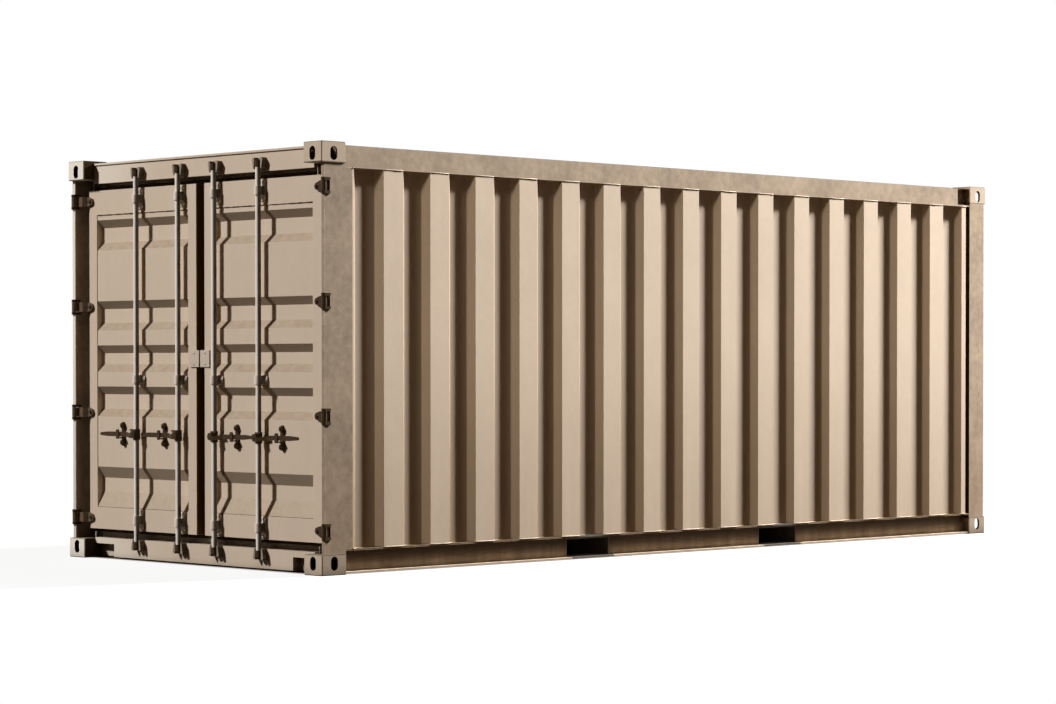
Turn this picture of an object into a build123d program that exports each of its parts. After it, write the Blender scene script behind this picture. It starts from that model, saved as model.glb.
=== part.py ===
"""A twenty foot steel shipping container, eight feet high, with two hinged doors.

X is the width, Y the length with the doors at the low end, and Z is up. Lengths are millimetres.
The corner castings alone set the overall size, and every other piece lies inside their faces.
"""

import os
from math import atan2, degrees

from build123d import *

# Overall size, over the corner castings
LENGTH = 6058.0
WIDTH = 2438.0
HEIGHT = 2438.0

# Corner castings, hollow, with one slot in each outer face
CASTING_LENGTH = 178.0
CASTING_WIDTH = 162.0
CASTING_HEIGHT = 118.0
CASTING_PLATE = 26.0
CASTING_BACK = 10.0
CASTING_WALL = 12.0
CASTING_BEVEL = 5.0
APERTURE_SPACING_LENGTH = 5853.0
APERTURE_SPACING_WIDTH = 2259.0
APERTURE_LENGTH = 124.5
APERTURE_WIDTH = 63.5
SLOT_HEIGHT = 79.5
SLOT_WIDTH = 51.0

# Set-backs of the frame behind the casting faces
SIDE_INSET = 6.0
REAR_INSET = 26.0
FRONT_INSET = 12.0

# Rear posts: an outer leg with a front lip, and a hollow box behind the door jamb
POST_PLATE = 8.0
POST_LIP = 28.0
POST_REACH = 230.0
JAMB_SETBACK = 152.0
JAMB_WIDTH = 133.0

# Front posts: a pressed corner with a return at each edge
FRONT_POST_SIDE = 160.0
FRONT_POST_FACE = 150.0
FRONT_POST_RETURN = 52.0

# Side rails
TOP_RAIL_HEIGHT = 122.0
TOP_RAIL_WIDTH = 60.0
TOP_RAIL_WALL = 4.0
TOP_RAIL_DROP = 20.0
TOP_RAIL_NOTCH = 131.0
TOP_RAIL_NOTCH_LIP = 10.0
BOTTOM_RAIL_RISE = 6.0
BOTTOM_RAIL_HEIGHT = 139.0
BOTTOM_RAIL_WIDTH = 56.0
BOTTOM_RAIL_FLANGE = 10.0
BOTTOM_RAIL_WEB = 6.0

# Door header and sill
HEADER_SETBACK = 80.0
HEADER_HEIGHT = 112.0
HEADER_TOP_DROP = 28.0
HEADER_LIP = 8.0
HEADER_LIP_THICKNESS = 12.0
HEADER_STOP_DROP = 64.0
SILL_RISE = 10.0
SILL_HEIGHT = 114.0
SILL_POCKET_WIDTH = 195.0
SILL_POCKET_HEIGHT = 78.0
SILL_POCKET_DEPTH = 50.0

# Front header and sill
FRONT_BEAM_DEPTH = 60.0
FRONT_BEAM_PLATE = 5.0

# Sheet walls and roof
SHEET = 2.0
WALL_PITCH = 355.5
WALL_FLAT = 146.0
WALL_SLOPE = 40.0
WALL_DEPTH = 36.0
WALL_FIRST_FLAT = 463.0
WALL_EDGE_FLAT = 8.0
WALL_LAST_FLAT = 46.0
FRONT_WALL_PITCH = 265.0
FRONT_WALL_FLAT = 92.0
FRONT_WALL_SLOPE = 40.0
FRONT_WALL_DEPTH = 44.0
ROOF_PITCH = 209.0
ROOF_CREST = 91.0
ROOF_SLOPE = 14.0
ROOF_DEPTH = 12.0
ROOF_EDGE = 115.0

# Floor, cross members and forklift pockets
FLOOR_THICKNESS = 28.0
FLOOR_TOP = 167.0
FLOOR_EDGE_GAP = 2.0
CROSS_HEIGHT = 122.0
CROSS_WIDTH = 45.0
CROSS_WALL = 4.0
CROSS_PITCH = 290.0
FORK_SPACING = 1754.0
FORK_WIDTH = 360.0
FORK_HEIGHT = 104.0
FORK_TOP_PLATE = 6.0
FORK_END_PLATE = 200.0

# Door leaves
LEAF_SETBACK = 84.0
LEAF_DEPTH = 50.0
LEAF_BOTTOM_GAP = 54.0
LEAF_TOP_GAP = 43.0
LEAF_HINGE_GAP = 102.0
LEAF_CENTRE_GAP = 40.0
STILE_WIDTH = 78.0
LEAF_TOP_RAIL = 150.0
LEAF_BOTTOM_RAIL = 134.0
PANEL_RECESS = 4.0

# Pressed pockets of the door panel, from the lowest up: places in shares of the panel's height
POCKET_DEPTH = 36.0
POCKET_TOP_SHARES = (0.1383, 0.4133, 0.5538, 0.7050, 0.9822)
POCKET_HEIGHT_SHARES = (0.1355, 0.1032, 0.0909, 0.1009, 0.1037)
POCKET_LOWER_SLOPES = (90.0, 48.0, 48.0, 48.0, 48.0)
POCKET_UPPER_SLOPES = (68.0, 48.0, 48.0, 48.0, 48.0)

# Rubber gasket round each leaf
GASKET_THICKNESS = 12.0
GASKET_COVER = 22.0
GASKET_LIP = 25.0
GASKET_EDGE_LIP = 22.0
GASKET_CENTRE_GAP = 14.0

# Hinges
HINGE_COUNT = 4
HINGE_FIRST = 246.0
HINGE_TOP_DROP = 248.0
HINGE_HEIGHT = 92.0
PIN_FROM_SIDE = 17.0
PIN_FROM_END = 30.0
PIN_RADIUS = 9.0
PIN_CLEARANCE = 1.0
KNUCKLE_RADIUS = 16.0
LUG_THICKNESS = 16.0
LUG_BEVEL = 10.0
LUG_CLEARANCE = 1.0
NOTCH_DEPTH = 66.0
BLADE_THICKNESS = 14.0
BLADE_REACH = 134.0
BLADE_TIP_RADIUS = 22.0

# Locking bars, cams and keepers
BAR_RADIUS = 16.0
BAR_SETBACK = 50.0
BAR_PLACES = (174.0, 589.0)
BAR_BOTTOM_RISE = 66.0
BAR_TOP_DROP = 48.0
CAM_HEIGHT = 40.0
CAM_RADIUS = 19.0
CAM_TONGUE_WIDTH = 22.0
CAM_CLEARANCE = 5.0
KEEPER_PLATE = 5.0
KEEPER_HEIGHT = 68.0
KEEPER_GAP = 57.0
KEEPER_REACH = 32.0
KEEPER_WIDE = 98.0
KEEPER_NARROW = 72.0
KEEPER_BEVEL = 9.0

# Bar brackets
BRACKET_HEIGHT = 50.0
BRACKET_CLEARANCE = 1.0
BRACKET_CAP = 6.0
END_FOOT_WIDTH = 64.0
END_FOOT_HEIGHT = 124.0
MIDDLE_FOOT_WIDTH = 92.0
MIDDLE_FOOT_HEIGHT = 56.0
BRACKET_FOOT = 6.0
BRACKET_BEVEL = 12.0
LOW_BRACKET_RISE = 69.0
TOP_BRACKET_DROP = 68.0
MIDDLE_BRACKET_SHARE = 0.4381

# Hubs on the bars, with a pin for the handle and a finger beside it
HANDLE_SHARE = 0.2526
HUB_RADIUS = 22.0
HUB_HEIGHT = 64.0
HUB_SEAT_GAP = 0.3
HUB_PIN_RADIUS = 8.0
HUB_PIN_ROOT = 18.0
HUB_PIN_HEAD = 3.0
FINGER_REACH = 40.0
FINGER_HEIGHT = 10.0
FINGER_THICKNESS = 12.0

# Handles: an eye, an arm that rises from under the hub, and a collar over the retainer
HANDLE_LENGTH = 362.0
HANDLE_HEIGHT = 28.0
HANDLE_ROOT_HEIGHT = 20.0
HANDLE_DIP = 12.0
HANDLE_RISE_END = 112.0
HANDLE_TAPER = 74.0
HANDLE_TIP_RADIUS = 9.0
HANDLE_THICKNESS = 12.0
HANDLE_EYE_RADIUS = 22.5
HANDLE_EYE_GAP = 1.0
HANDLE_SETBACK = 42.0
HANDLE_BEND_START = 24.0
HANDLE_BEND_END = 88.0
COLLAR_WIDTH = 26.0
COLLAR_HEIGHT = 58.0
COLLAR_THICKNESS = 8.0
COLLAR_BEVEL = 7.0

# Handle retainers: a plate with two bosses and a ledge under the handle
RETAINER_PLACE = 177.0
RETAINER_WIDTH = 28.0
RETAINER_HEIGHT = 146.0
RETAINER_PLATE = 10.0
RETAINER_BEVEL = 9.0
BOSS_RADIUS = 17.0
BOSS_DEPTH = 20.0
BOSS_SPACING = 104.0
LEDGE_THICKNESS = 8.0
LEDGE_DEPTH = 40.0
LEDGE_CLEARANCE = 5.0

# Centre plates, one on each leaf
CENTRE_PLATE_SHARE = 0.5075
CENTRE_PLATE_HEIGHT = 99.0
CENTRE_PLATE_WIDTH = 92.0
CENTRE_PLATE_GAP = 14.0
CENTRE_PLATE_THICKNESS = 8.0

# Extra reach of every cut
OVERRUN = 5.0

# Sides of the small rounds on forged pieces
ROUND_SIDES = 8

HALF_LENGTH = LENGTH / 2
HALF_WIDTH = WIDTH / 2
DOOR_END = -HALF_LENGTH
SIDE_FACE = HALF_WIDTH - SIDE_INSET
FRONT_FACE = HALF_LENGTH - FRONT_INSET
CASTING_INNER = HALF_WIDTH - CASTING_WIDTH
FRAME_REACH = HALF_LENGTH - CASTING_LENGTH
BOTTOM_RAIL_TOP = BOTTOM_RAIL_RISE + BOTTOM_RAIL_HEIGHT
TOP_RAIL_TOP = HEIGHT - TOP_RAIL_DROP
TOP_RAIL_BOTTOM = TOP_RAIL_TOP - TOP_RAIL_HEIGHT
RAIL_WEB_INNER = SIDE_FACE - BOTTOM_RAIL_WIDTH
JAMB_FACE = DOOR_END + JAMB_SETBACK
JAMB_INNER = SIDE_FACE - JAMB_WIDTH
POST_BACK = DOOR_END + POST_REACH
HEADER_FACE = DOOR_END + HEADER_SETBACK
HEADER_TOP = HEIGHT - HEADER_TOP_DROP
HEADER_BOTTOM = HEADER_TOP - HEADER_HEIGHT
SILL_TOP = SILL_RISE + SILL_HEIGHT
FLOOR_BOTTOM = FLOOR_TOP - FLOOR_THICKNESS
CROSS_BOTTOM = FLOOR_BOTTOM - CROSS_HEIGHT
FORK_PLACES = (-FORK_SPACING / 2, FORK_SPACING / 2)
FORK_TOP = CROSS_BOTTOM + FORK_HEIGHT
LEAF_FACE = DOOR_END + LEAF_SETBACK
LEAF_BACK = LEAF_FACE + LEAF_DEPTH
LEAF_OUTER = HALF_WIDTH - LEAF_HINGE_GAP
LEAF_BOTTOM = SILL_TOP + LEAF_BOTTOM_GAP
LEAF_TOP = HEADER_BOTTOM - LEAF_TOP_GAP
PANEL_FACE = LEAF_FACE + PANEL_RECESS
PANEL_LOW = LEAF_BOTTOM + LEAF_BOTTOM_RAIL
PANEL_HEIGHT = LEAF_TOP - LEAF_TOP_RAIL - PANEL_LOW
PIN_X = HALF_WIDTH - PIN_FROM_SIDE
PIN_Y = DOOR_END + PIN_FROM_END
BAR_Y = DOOR_END + BAR_SETBACK
BAR_BOTTOM = SILL_RISE + BAR_BOTTOM_RISE
BAR_TOP = HEADER_TOP - BAR_TOP_DROP
HANDLE_PLACE = PANEL_LOW + HANDLE_SHARE * PANEL_HEIGHT
CENTRE_PLATE_PLACE = PANEL_LOW + CENTRE_PLATE_SHARE * PANEL_HEIGHT
HINGE_PITCH = (HEIGHT - HINGE_TOP_DROP - HINGE_FIRST) / (HINGE_COUNT - 1)
HINGE_PLACES = [HINGE_FIRST + HINGE_PITCH * step for step in range(HINGE_COUNT)]


def block(x_span, y_span, z_span, mode=Mode.ADD):
    """Adds or cuts a box, given its span along each axis."""
    middle = [sum(span) / 2 for span in (x_span, y_span, z_span)]
    sizes = [abs(span[1] - span[0]) for span in (x_span, y_span, z_span)]
    with Locations(Vector(*middle)):
        Box(*sizes, mode=mode)


def prism(plane, points, depth, mode=Mode.ADD):
    """Extrudes a closed outline drawn on a plane."""
    with BuildSketch(plane) as outline:
        with BuildLine():
            Polyline(*points, close=True)
        make_face()
    extrude(outline.sketch, amount=depth, mode=mode)


def pressed_sheet(plane, points, thickness, side, depth):
    """Extrudes a folded strip of sheet that follows a line of points."""
    with BuildSketch(plane) as section:
        with BuildLine():
            Polyline(*points)
            offset(amount=thickness, side=side, kind=Kind.INTERSECTION)
        make_face()
    extrude(section.sketch, amount=depth)


def corrugation(starts, flat, slope, high, low):
    """Gives the fold points of a corrugated sheet whose raised flats begin at the given places."""
    points = []
    for start in starts:
        points += [(start - slope, low), (start, high), (start + flat, high), (start + flat + slope, low)]
    return points


def save(name, built):
    """Labels a finished piece and writes it as one file."""
    built.part.label = name
    export_step(built.part, f"parts/{name}.step")


def save_pair(name, right):
    """Writes a piece of the right side and its mirror image on the left."""
    save(f"right_{name}", right)
    with BuildPart() as left:
        mirror(right.part, about=Plane.YZ)
    save(f"left_{name}", left)


def save_both(name, right):
    """Writes a piece of the right side and its mirror image together."""
    with BuildPart() as both:
        add(right.part)
        mirror(right.part, about=Plane.YZ)
    save(name, both)


os.makedirs("parts", exist_ok=True)

# Corner castings
with BuildPart() as bottom_corner_castings:
    block(
        (CASTING_INNER, HALF_WIDTH), (FRAME_REACH, HALF_LENGTH), (0, CASTING_HEIGHT),
    )
    chamfer(bottom_corner_castings.edges(), CASTING_BEVEL)
    block(
        (CASTING_INNER + CASTING_WALL, HALF_WIDTH - CASTING_WALL),
        (FRAME_REACH + CASTING_WALL, HALF_LENGTH - CASTING_WALL),
        (CASTING_PLATE, CASTING_HEIGHT - CASTING_BACK),
        mode=Mode.SUBTRACT,
    )
    slot_middle = (CASTING_PLATE + CASTING_HEIGHT - CASTING_BACK) / 2
    with BuildSketch(Plane.XY.offset(-OVERRUN)):
        with Locations((APERTURE_SPACING_WIDTH / 2, APERTURE_SPACING_LENGTH / 2)):
            SlotOverall(APERTURE_LENGTH, APERTURE_WIDTH, rotation=90)
    extrude(amount=CASTING_PLATE + 2 * OVERRUN, mode=Mode.SUBTRACT)
    with BuildSketch(Plane.YZ.offset(HALF_WIDTH + OVERRUN)):
        with Locations((HALF_LENGTH - CASTING_LENGTH / 2, slot_middle)):
            SlotOverall(SLOT_HEIGHT, SLOT_WIDTH, rotation=90)
    extrude(amount=-CASTING_WALL - 2 * OVERRUN, mode=Mode.SUBTRACT)
    with BuildSketch(Plane.XZ.offset(-HALF_LENGTH - OVERRUN)):
        with Locations((HALF_WIDTH - CASTING_WIDTH / 2, slot_middle)):
            SlotOverall(SLOT_HEIGHT, SLOT_WIDTH, rotation=90)
    extrude(amount=CASTING_WALL + 2 * OVERRUN, mode=Mode.SUBTRACT)
    mirror(about=Plane.XZ)
    mirror(about=Plane.YZ)
save("bottom_corner_castings", bottom_corner_castings)

with BuildPart() as top_corner_castings:
    mirror(bottom_corner_castings.part, about=Plane.XY.offset(HEIGHT / 2))
save("top_corner_castings", top_corner_castings)

# Rear posts, notched at each hinge
with BuildPart() as rear_post:
    leg_inner = SIDE_FACE - POST_PLATE
    lip_front = DOOR_END + REAR_INSET
    post_outline = [
        (SIDE_FACE, lip_front), (SIDE_FACE, POST_BACK), (JAMB_INNER, POST_BACK), (JAMB_INNER, JAMB_FACE),
        (leg_inner, JAMB_FACE), (leg_inner, lip_front + POST_PLATE),
        (SIDE_FACE - POST_LIP, lip_front + POST_PLATE), (SIDE_FACE - POST_LIP, lip_front),
    ]
    prism(Plane.XY.offset(CASTING_HEIGHT), post_outline, HEIGHT - 2 * CASTING_HEIGHT)
    block(
        (JAMB_INNER + POST_PLATE, leg_inner),
        (JAMB_FACE + POST_PLATE, POST_BACK - POST_PLATE),
        (0, HEIGHT),
        mode=Mode.SUBTRACT,
    )
    for rail_span in ((0, BOTTOM_RAIL_TOP), (TOP_RAIL_BOTTOM, HEIGHT)):
        block((JAMB_INNER, HALF_WIDTH), (-FRAME_REACH, POST_BACK), rail_span, mode=Mode.SUBTRACT)
    for place in HINGE_PLACES:
        block(
            (SIDE_FACE - POST_LIP, HALF_WIDTH),
            (DOOR_END, DOOR_END + NOTCH_DEPTH),
            (place - HINGE_HEIGHT / 2, place + HINGE_HEIGHT / 2),
            mode=Mode.SUBTRACT,
        )
save_both("rear_posts", rear_post)

# Hinge lugs, in pairs with their pin, set into the notches of the rear posts
with BuildPart() as hinge_lugs:
    lug_front = PIN_Y - KNUCKLE_RADIUS
    lug_outline = [
        (PIN_X - KNUCKLE_RADIUS, DOOR_END + NOTCH_DEPTH), (PIN_X - KNUCKLE_RADIUS, lug_front + LUG_BEVEL),
        (PIN_X - KNUCKLE_RADIUS + LUG_BEVEL, lug_front), (PIN_X + KNUCKLE_RADIUS - LUG_BEVEL, lug_front),
        (PIN_X + KNUCKLE_RADIUS, lug_front + LUG_BEVEL), (PIN_X + KNUCKLE_RADIUS, DOOR_END + NOTCH_DEPTH),
    ]
    for place in HINGE_PLACES:
        for low in (place - HINGE_HEIGHT / 2, place + HINGE_HEIGHT / 2 - LUG_THICKNESS):
            prism(Plane.XY.offset(low), lug_outline, LUG_THICKNESS)
        with Locations((PIN_X, PIN_Y, place)):
            Cylinder(PIN_RADIUS, HINGE_HEIGHT - LUG_THICKNESS)
save_both("hinge_lugs", hinge_lugs)

# Front posts
with BuildPart() as front_post:
    post_rear = FRONT_FACE - FRONT_POST_SIDE
    post_inner = SIDE_FACE - FRONT_POST_FACE
    pressed_sheet(
        Plane.XY.offset(CASTING_HEIGHT),
        [
            (SIDE_FACE - FRONT_POST_RETURN, post_rear), (SIDE_FACE, post_rear), (SIDE_FACE, FRONT_FACE),
            (post_inner, FRONT_FACE), (post_inner, FRONT_FACE - FRONT_POST_RETURN),
        ],
        POST_PLATE, Side.LEFT, HEIGHT - 2 * CASTING_HEIGHT,
    )
save_both("front_posts", front_post)

# Top side rails, square tube, cut open on the outside next to the front castings
with BuildPart() as top_rail:
    with BuildSketch(Plane.XZ.offset(-FRAME_REACH)):
        with Locations((SIDE_FACE - TOP_RAIL_WIDTH / 2, TOP_RAIL_BOTTOM + TOP_RAIL_HEIGHT / 2)):
            Rectangle(TOP_RAIL_WIDTH, TOP_RAIL_HEIGHT)
            Rectangle(
                TOP_RAIL_WIDTH - 2 * TOP_RAIL_WALL, TOP_RAIL_HEIGHT - 2 * TOP_RAIL_WALL, mode=Mode.SUBTRACT,
            )
    extrude(amount=2 * FRAME_REACH)
    block(
        (SIDE_FACE - TOP_RAIL_WIDTH + TOP_RAIL_WALL, HALF_WIDTH),
        (FRAME_REACH - TOP_RAIL_NOTCH, FRAME_REACH),
        (TOP_RAIL_BOTTOM + TOP_RAIL_NOTCH_LIP, HEIGHT),
        mode=Mode.SUBTRACT,
    )
save_both("top_rails", top_rail)

# Bottom side rails, lengths of channel that open outwards and stop at the forklift pockets
with BuildPart() as bottom_rail:
    web_outer = RAIL_WEB_INNER + BOTTOM_RAIL_WEB
    flange_low = BOTTOM_RAIL_RISE + BOTTOM_RAIL_FLANGE
    flange_high = BOTTOM_RAIL_TOP - BOTTOM_RAIL_FLANGE
    rail_outline = [
        (SIDE_FACE, BOTTOM_RAIL_TOP), (RAIL_WEB_INNER, BOTTOM_RAIL_TOP),
        (RAIL_WEB_INNER, BOTTOM_RAIL_RISE), (SIDE_FACE, BOTTOM_RAIL_RISE),
        (SIDE_FACE, flange_low), (web_outer, flange_low), (web_outer, flange_high), (SIDE_FACE, flange_high),
    ]
    rail_ends = [-FRAME_REACH]
    for middle in FORK_PLACES:
        rail_ends += [middle - FORK_WIDTH / 2, middle + FORK_WIDTH / 2]
    rail_ends.append(FRAME_REACH)
    for start, end in zip(rail_ends[::2], rail_ends[1::2]):
        prism(Plane.XZ.offset(-end), rail_outline, end - start)
save_both("bottom_rails", bottom_rail)

# Door header with its overhanging top plate and the stop behind the leaves
with BuildPart() as door_header:
    block((-CASTING_INNER, CASTING_INNER), (HEADER_FACE, -FRAME_REACH), (HEADER_BOTTOM, HEADER_TOP))
    block(
        (-CASTING_INNER, CASTING_INNER),
        (HEADER_FACE - HEADER_LIP, -FRAME_REACH),
        (HEADER_TOP, HEADER_TOP + HEADER_LIP_THICKNESS),
    )
    block(
        (-JAMB_INNER, JAMB_INNER),
        (JAMB_FACE, JAMB_FACE + POST_PLATE),
        (HEADER_BOTTOM - HEADER_STOP_DROP, HEADER_BOTTOM),
    )
save("door_header", door_header)

# Door sill with a pocket at each end
with BuildPart() as door_sill:
    block((-CASTING_INNER, CASTING_INNER), (HEADER_FACE, POST_BACK), (SILL_RISE, SILL_TOP))
    block((-JAMB_INNER, JAMB_INNER), (JAMB_FACE, POST_BACK), (SILL_TOP, FLOOR_TOP))
    for end in (-CASTING_INNER, CASTING_INNER - SILL_POCKET_WIDTH):
        block(
            (end, end + SILL_POCKET_WIDTH),
            (DOOR_END, HEADER_FACE + SILL_POCKET_DEPTH),
            (0, SILL_RISE + SILL_POCKET_HEIGHT),
            mode=Mode.SUBTRACT,
        )
save("door_sill", door_sill)

# Front header and sill, channels that open to the inside, the header with a plate back to the roof
for name, beam_span, top_back in (
    ("front_header", (TOP_RAIL_BOTTOM, TOP_RAIL_TOP), FRAME_REACH),
    ("front_sill", (BOTTOM_RAIL_RISE, BOTTOM_RAIL_TOP), FRONT_FACE - FRONT_BEAM_DEPTH),
):
    with BuildPart() as front_beam:
        beam_back = FRONT_FACE - FRONT_BEAM_DEPTH
        beam_outline = [
            (beam_back, beam_span[0]), (FRONT_FACE, beam_span[0]), (FRONT_FACE, beam_span[1]),
            (top_back, beam_span[1]), (top_back, beam_span[1] - FRONT_BEAM_PLATE),
            (FRONT_FACE - FRONT_BEAM_PLATE, beam_span[1] - FRONT_BEAM_PLATE),
            (FRONT_FACE - FRONT_BEAM_PLATE, beam_span[0] + FRONT_BEAM_PLATE),
            (beam_back, beam_span[0] + FRONT_BEAM_PLATE),
        ]
        prism(Plane.YZ.offset(-CASTING_INNER), beam_outline, 2 * CASTING_INNER)
    save(name, front_beam)

# Corrugated side walls, standing on the bottom rails
with BuildPart() as wall:
    wall_low = SIDE_FACE - WALL_DEPTH
    wall_end = FRONT_FACE - FRONT_POST_SIDE
    first = DOOR_END + WALL_FIRST_FLAT
    count = int((wall_end - first) // WALL_PITCH) + 1
    starts = [first + WALL_PITCH * step for step in range(count)]
    folds = corrugation(starts[:-1], WALL_FLAT, WALL_SLOPE, SIDE_FACE, wall_low)
    folds += corrugation(starts[-1:], WALL_LAST_FLAT, WALL_SLOPE, SIDE_FACE, wall_low)
    edge = POST_BACK + WALL_EDGE_FLAT
    folds = [(POST_BACK, SIDE_FACE), (edge, SIDE_FACE), (edge + WALL_SLOPE, wall_low)] + folds
    folds.append((wall_end, wall_low))
    pressed_sheet(
        Plane.XY.offset(BOTTOM_RAIL_TOP), [(x, y) for y, x in folds],
        SHEET, Side.LEFT, TOP_RAIL_BOTTOM - BOTTOM_RAIL_TOP,
    )
save_pair("wall", wall)

# Corrugated front wall between the front posts
with BuildPart() as front_wall:
    front_low = FRONT_FACE - FRONT_WALL_DEPTH
    front_end = SIDE_FACE - FRONT_POST_FACE
    fold_width = FRONT_WALL_FLAT + 2 * FRONT_WALL_SLOPE
    count = int((2 * front_end - fold_width) // FRONT_WALL_PITCH) + 1
    first = -(count - 1) * FRONT_WALL_PITCH / 2 - FRONT_WALL_FLAT / 2
    starts = [first + FRONT_WALL_PITCH * step for step in range(count)]
    folds = corrugation(starts, FRONT_WALL_FLAT, FRONT_WALL_SLOPE, FRONT_FACE, front_low)
    folds = [(-front_end, front_low)] + folds + [(front_end, front_low)]
    pressed_sheet(
        Plane.XY.offset(BOTTOM_RAIL_TOP), folds, SHEET, Side.RIGHT, TOP_RAIL_BOTTOM - BOTTOM_RAIL_TOP,
    )
save("front_wall", front_wall)

# Roof, pressed with shallow ridges across the width that end short of the side rails
with BuildPart() as roof:
    ridge_width = ROOF_CREST + 2 * ROOF_SLOPE
    count = int((2 * FRAME_REACH - ridge_width) // ROOF_PITCH) + 1
    block((-SIDE_FACE, SIDE_FACE), (-FRAME_REACH, FRAME_REACH), (TOP_RAIL_TOP, TOP_RAIL_TOP + SHEET))
    for base, mode in ((TOP_RAIL_TOP + SHEET, Mode.ADD), (TOP_RAIL_TOP, Mode.SUBTRACT)):
        with BuildSketch(Plane.XY.offset(base)):
            with GridLocations(ROOF_PITCH, ROOF_PITCH, 1, count):
                Rectangle(2 * (SIDE_FACE - ROOF_EDGE), ridge_width)
        extrude(amount=ROOF_DEPTH, taper=degrees(atan2(ROOF_SLOPE, ROOF_DEPTH)), mode=mode)
save("roof", roof)

# Floor boards, laid on the cross members
with BuildPart() as floor_boards:
    floor_reach = RAIL_WEB_INNER - FLOOR_EDGE_GAP
    block((-floor_reach, floor_reach), (POST_BACK, FRONT_FACE - FRONT_BEAM_DEPTH), (FLOOR_BOTTOM, FLOOR_TOP))
save("floor_boards", floor_boards)

# Forklift pockets: a top plate that carries the rails across, and a plate under each mouth
with BuildPart() as forklift_pockets:
    for middle in FORK_PLACES:
        right_half = [
            (web_outer, FORK_TOP), (web_outer, flange_high),
            (SIDE_FACE, flange_high), (SIDE_FACE, BOTTOM_RAIL_TOP),
            (RAIL_WEB_INNER, BOTTOM_RAIL_TOP), (RAIL_WEB_INNER, FORK_TOP + FORK_TOP_PLATE),
        ]
        left_half = [(-x, z) for x, z in reversed(right_half)]
        prism(Plane.XZ.offset(-middle - FORK_WIDTH / 2), right_half + left_half, FORK_WIDTH)
        for start in (-SIDE_FACE, SIDE_FACE - FORK_END_PLATE):
            block(
                (start, start + FORK_END_PLATE),
                (middle - FORK_WIDTH / 2, middle + FORK_WIDTH / 2),
                (BOTTOM_RAIL_RISE, CROSS_BOTTOM),
            )
save("forklift_pockets", forklift_pockets)


def cross_member(back, side):
    """Adds a channel across the floor, given the place of its back and the side of its flanges."""
    wall = back + side * CROSS_WALL
    tip = back + side * CROSS_WIDTH
    channel = [
        (back, CROSS_BOTTOM), (tip, CROSS_BOTTOM), (tip, CROSS_BOTTOM + CROSS_WALL),
        (wall, CROSS_BOTTOM + CROSS_WALL), (wall, FLOOR_BOTTOM - CROSS_WALL),
        (tip, FLOOR_BOTTOM - CROSS_WALL), (tip, FLOOR_BOTTOM), (back, FLOOR_BOTTOM),
    ]
    prism(Plane.YZ.offset(-RAIL_WEB_INNER), channel, 2 * RAIL_WEB_INNER)


# Cross members between the bottom rails, with a pair at the sides of each forklift pocket
with BuildPart() as cross_members:
    cross_span = FRAME_REACH - POST_BACK - 2 * CROSS_WIDTH
    count = int(cross_span // CROSS_PITCH) + 1
    for step in range(count):
        place = POST_BACK + cross_span * step / (count - 1)
        distance = min(abs(place + CROSS_WIDTH / 2 - middle) for middle in FORK_PLACES)
        if distance > FORK_WIDTH / 2 + 2 * CROSS_WIDTH:
            cross_member(place, 1)
    for middle in FORK_PLACES:
        cross_member(middle - FORK_WIDTH / 2, -1)
        cross_member(middle + FORK_WIDTH / 2, 1)
save("cross_members", cross_members)

# Keepers on the header and the sill: forks that open to the front and flare away from the leaf
for name, cam_middle, flare in (
    ("header_keepers", BAR_TOP - CAM_HEIGHT / 2, 1),
    ("sill_keepers", BAR_BOTTOM + CAM_HEIGHT / 2, -1),
):
    with BuildPart() as keepers:
        plate_face = HEADER_FACE - KEEPER_PLATE
        wide_end = cam_middle + flare * KEEPER_HEIGHT / 2
        narrow_end = cam_middle - flare * KEEPER_HEIGHT / 2
        for place in BAR_PLACES:
            with BuildSketch(Plane.XZ.offset(-HEADER_FACE)) as fork:
                with BuildLine():
                    Polyline(
                        (place - KEEPER_NARROW / 2, narrow_end), (place + KEEPER_NARROW / 2, narrow_end),
                        (place + KEEPER_WIDE / 2, wide_end), (place - KEEPER_WIDE / 2, wide_end), close=True,
                    )
                make_face()
                chamfer(fork.vertices(), KEEPER_BEVEL)
            extrude(amount=KEEPER_PLATE + KEEPER_REACH)
            block(
                (place - KEEPER_GAP / 2, place + KEEPER_GAP / 2),
                (plate_face - KEEPER_REACH - OVERRUN, plate_face),
                (cam_middle - KEEPER_HEIGHT, cam_middle + KEEPER_HEIGHT),
                mode=Mode.SUBTRACT,
            )
        mirror(about=Plane.YZ)
    save(name, keepers)

# Door leaf frame
with BuildPart() as door_frame:
    with BuildSketch(Plane.XZ.offset(-LEAF_FACE)):
        leaf_middle = (LEAF_CENTRE_GAP + LEAF_OUTER) / 2
        with Locations((leaf_middle, (LEAF_BOTTOM + LEAF_TOP) / 2)):
            Rectangle(LEAF_OUTER - LEAF_CENTRE_GAP, LEAF_TOP - LEAF_BOTTOM)
        with Locations((leaf_middle, PANEL_LOW + PANEL_HEIGHT / 2)):
            Rectangle(
                LEAF_OUTER - LEAF_CENTRE_GAP - 2 * STILE_WIDTH, PANEL_HEIGHT, mode=Mode.SUBTRACT,
            )
    extrude(amount=-LEAF_DEPTH)
save_pair("door_frame", door_frame)

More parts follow.
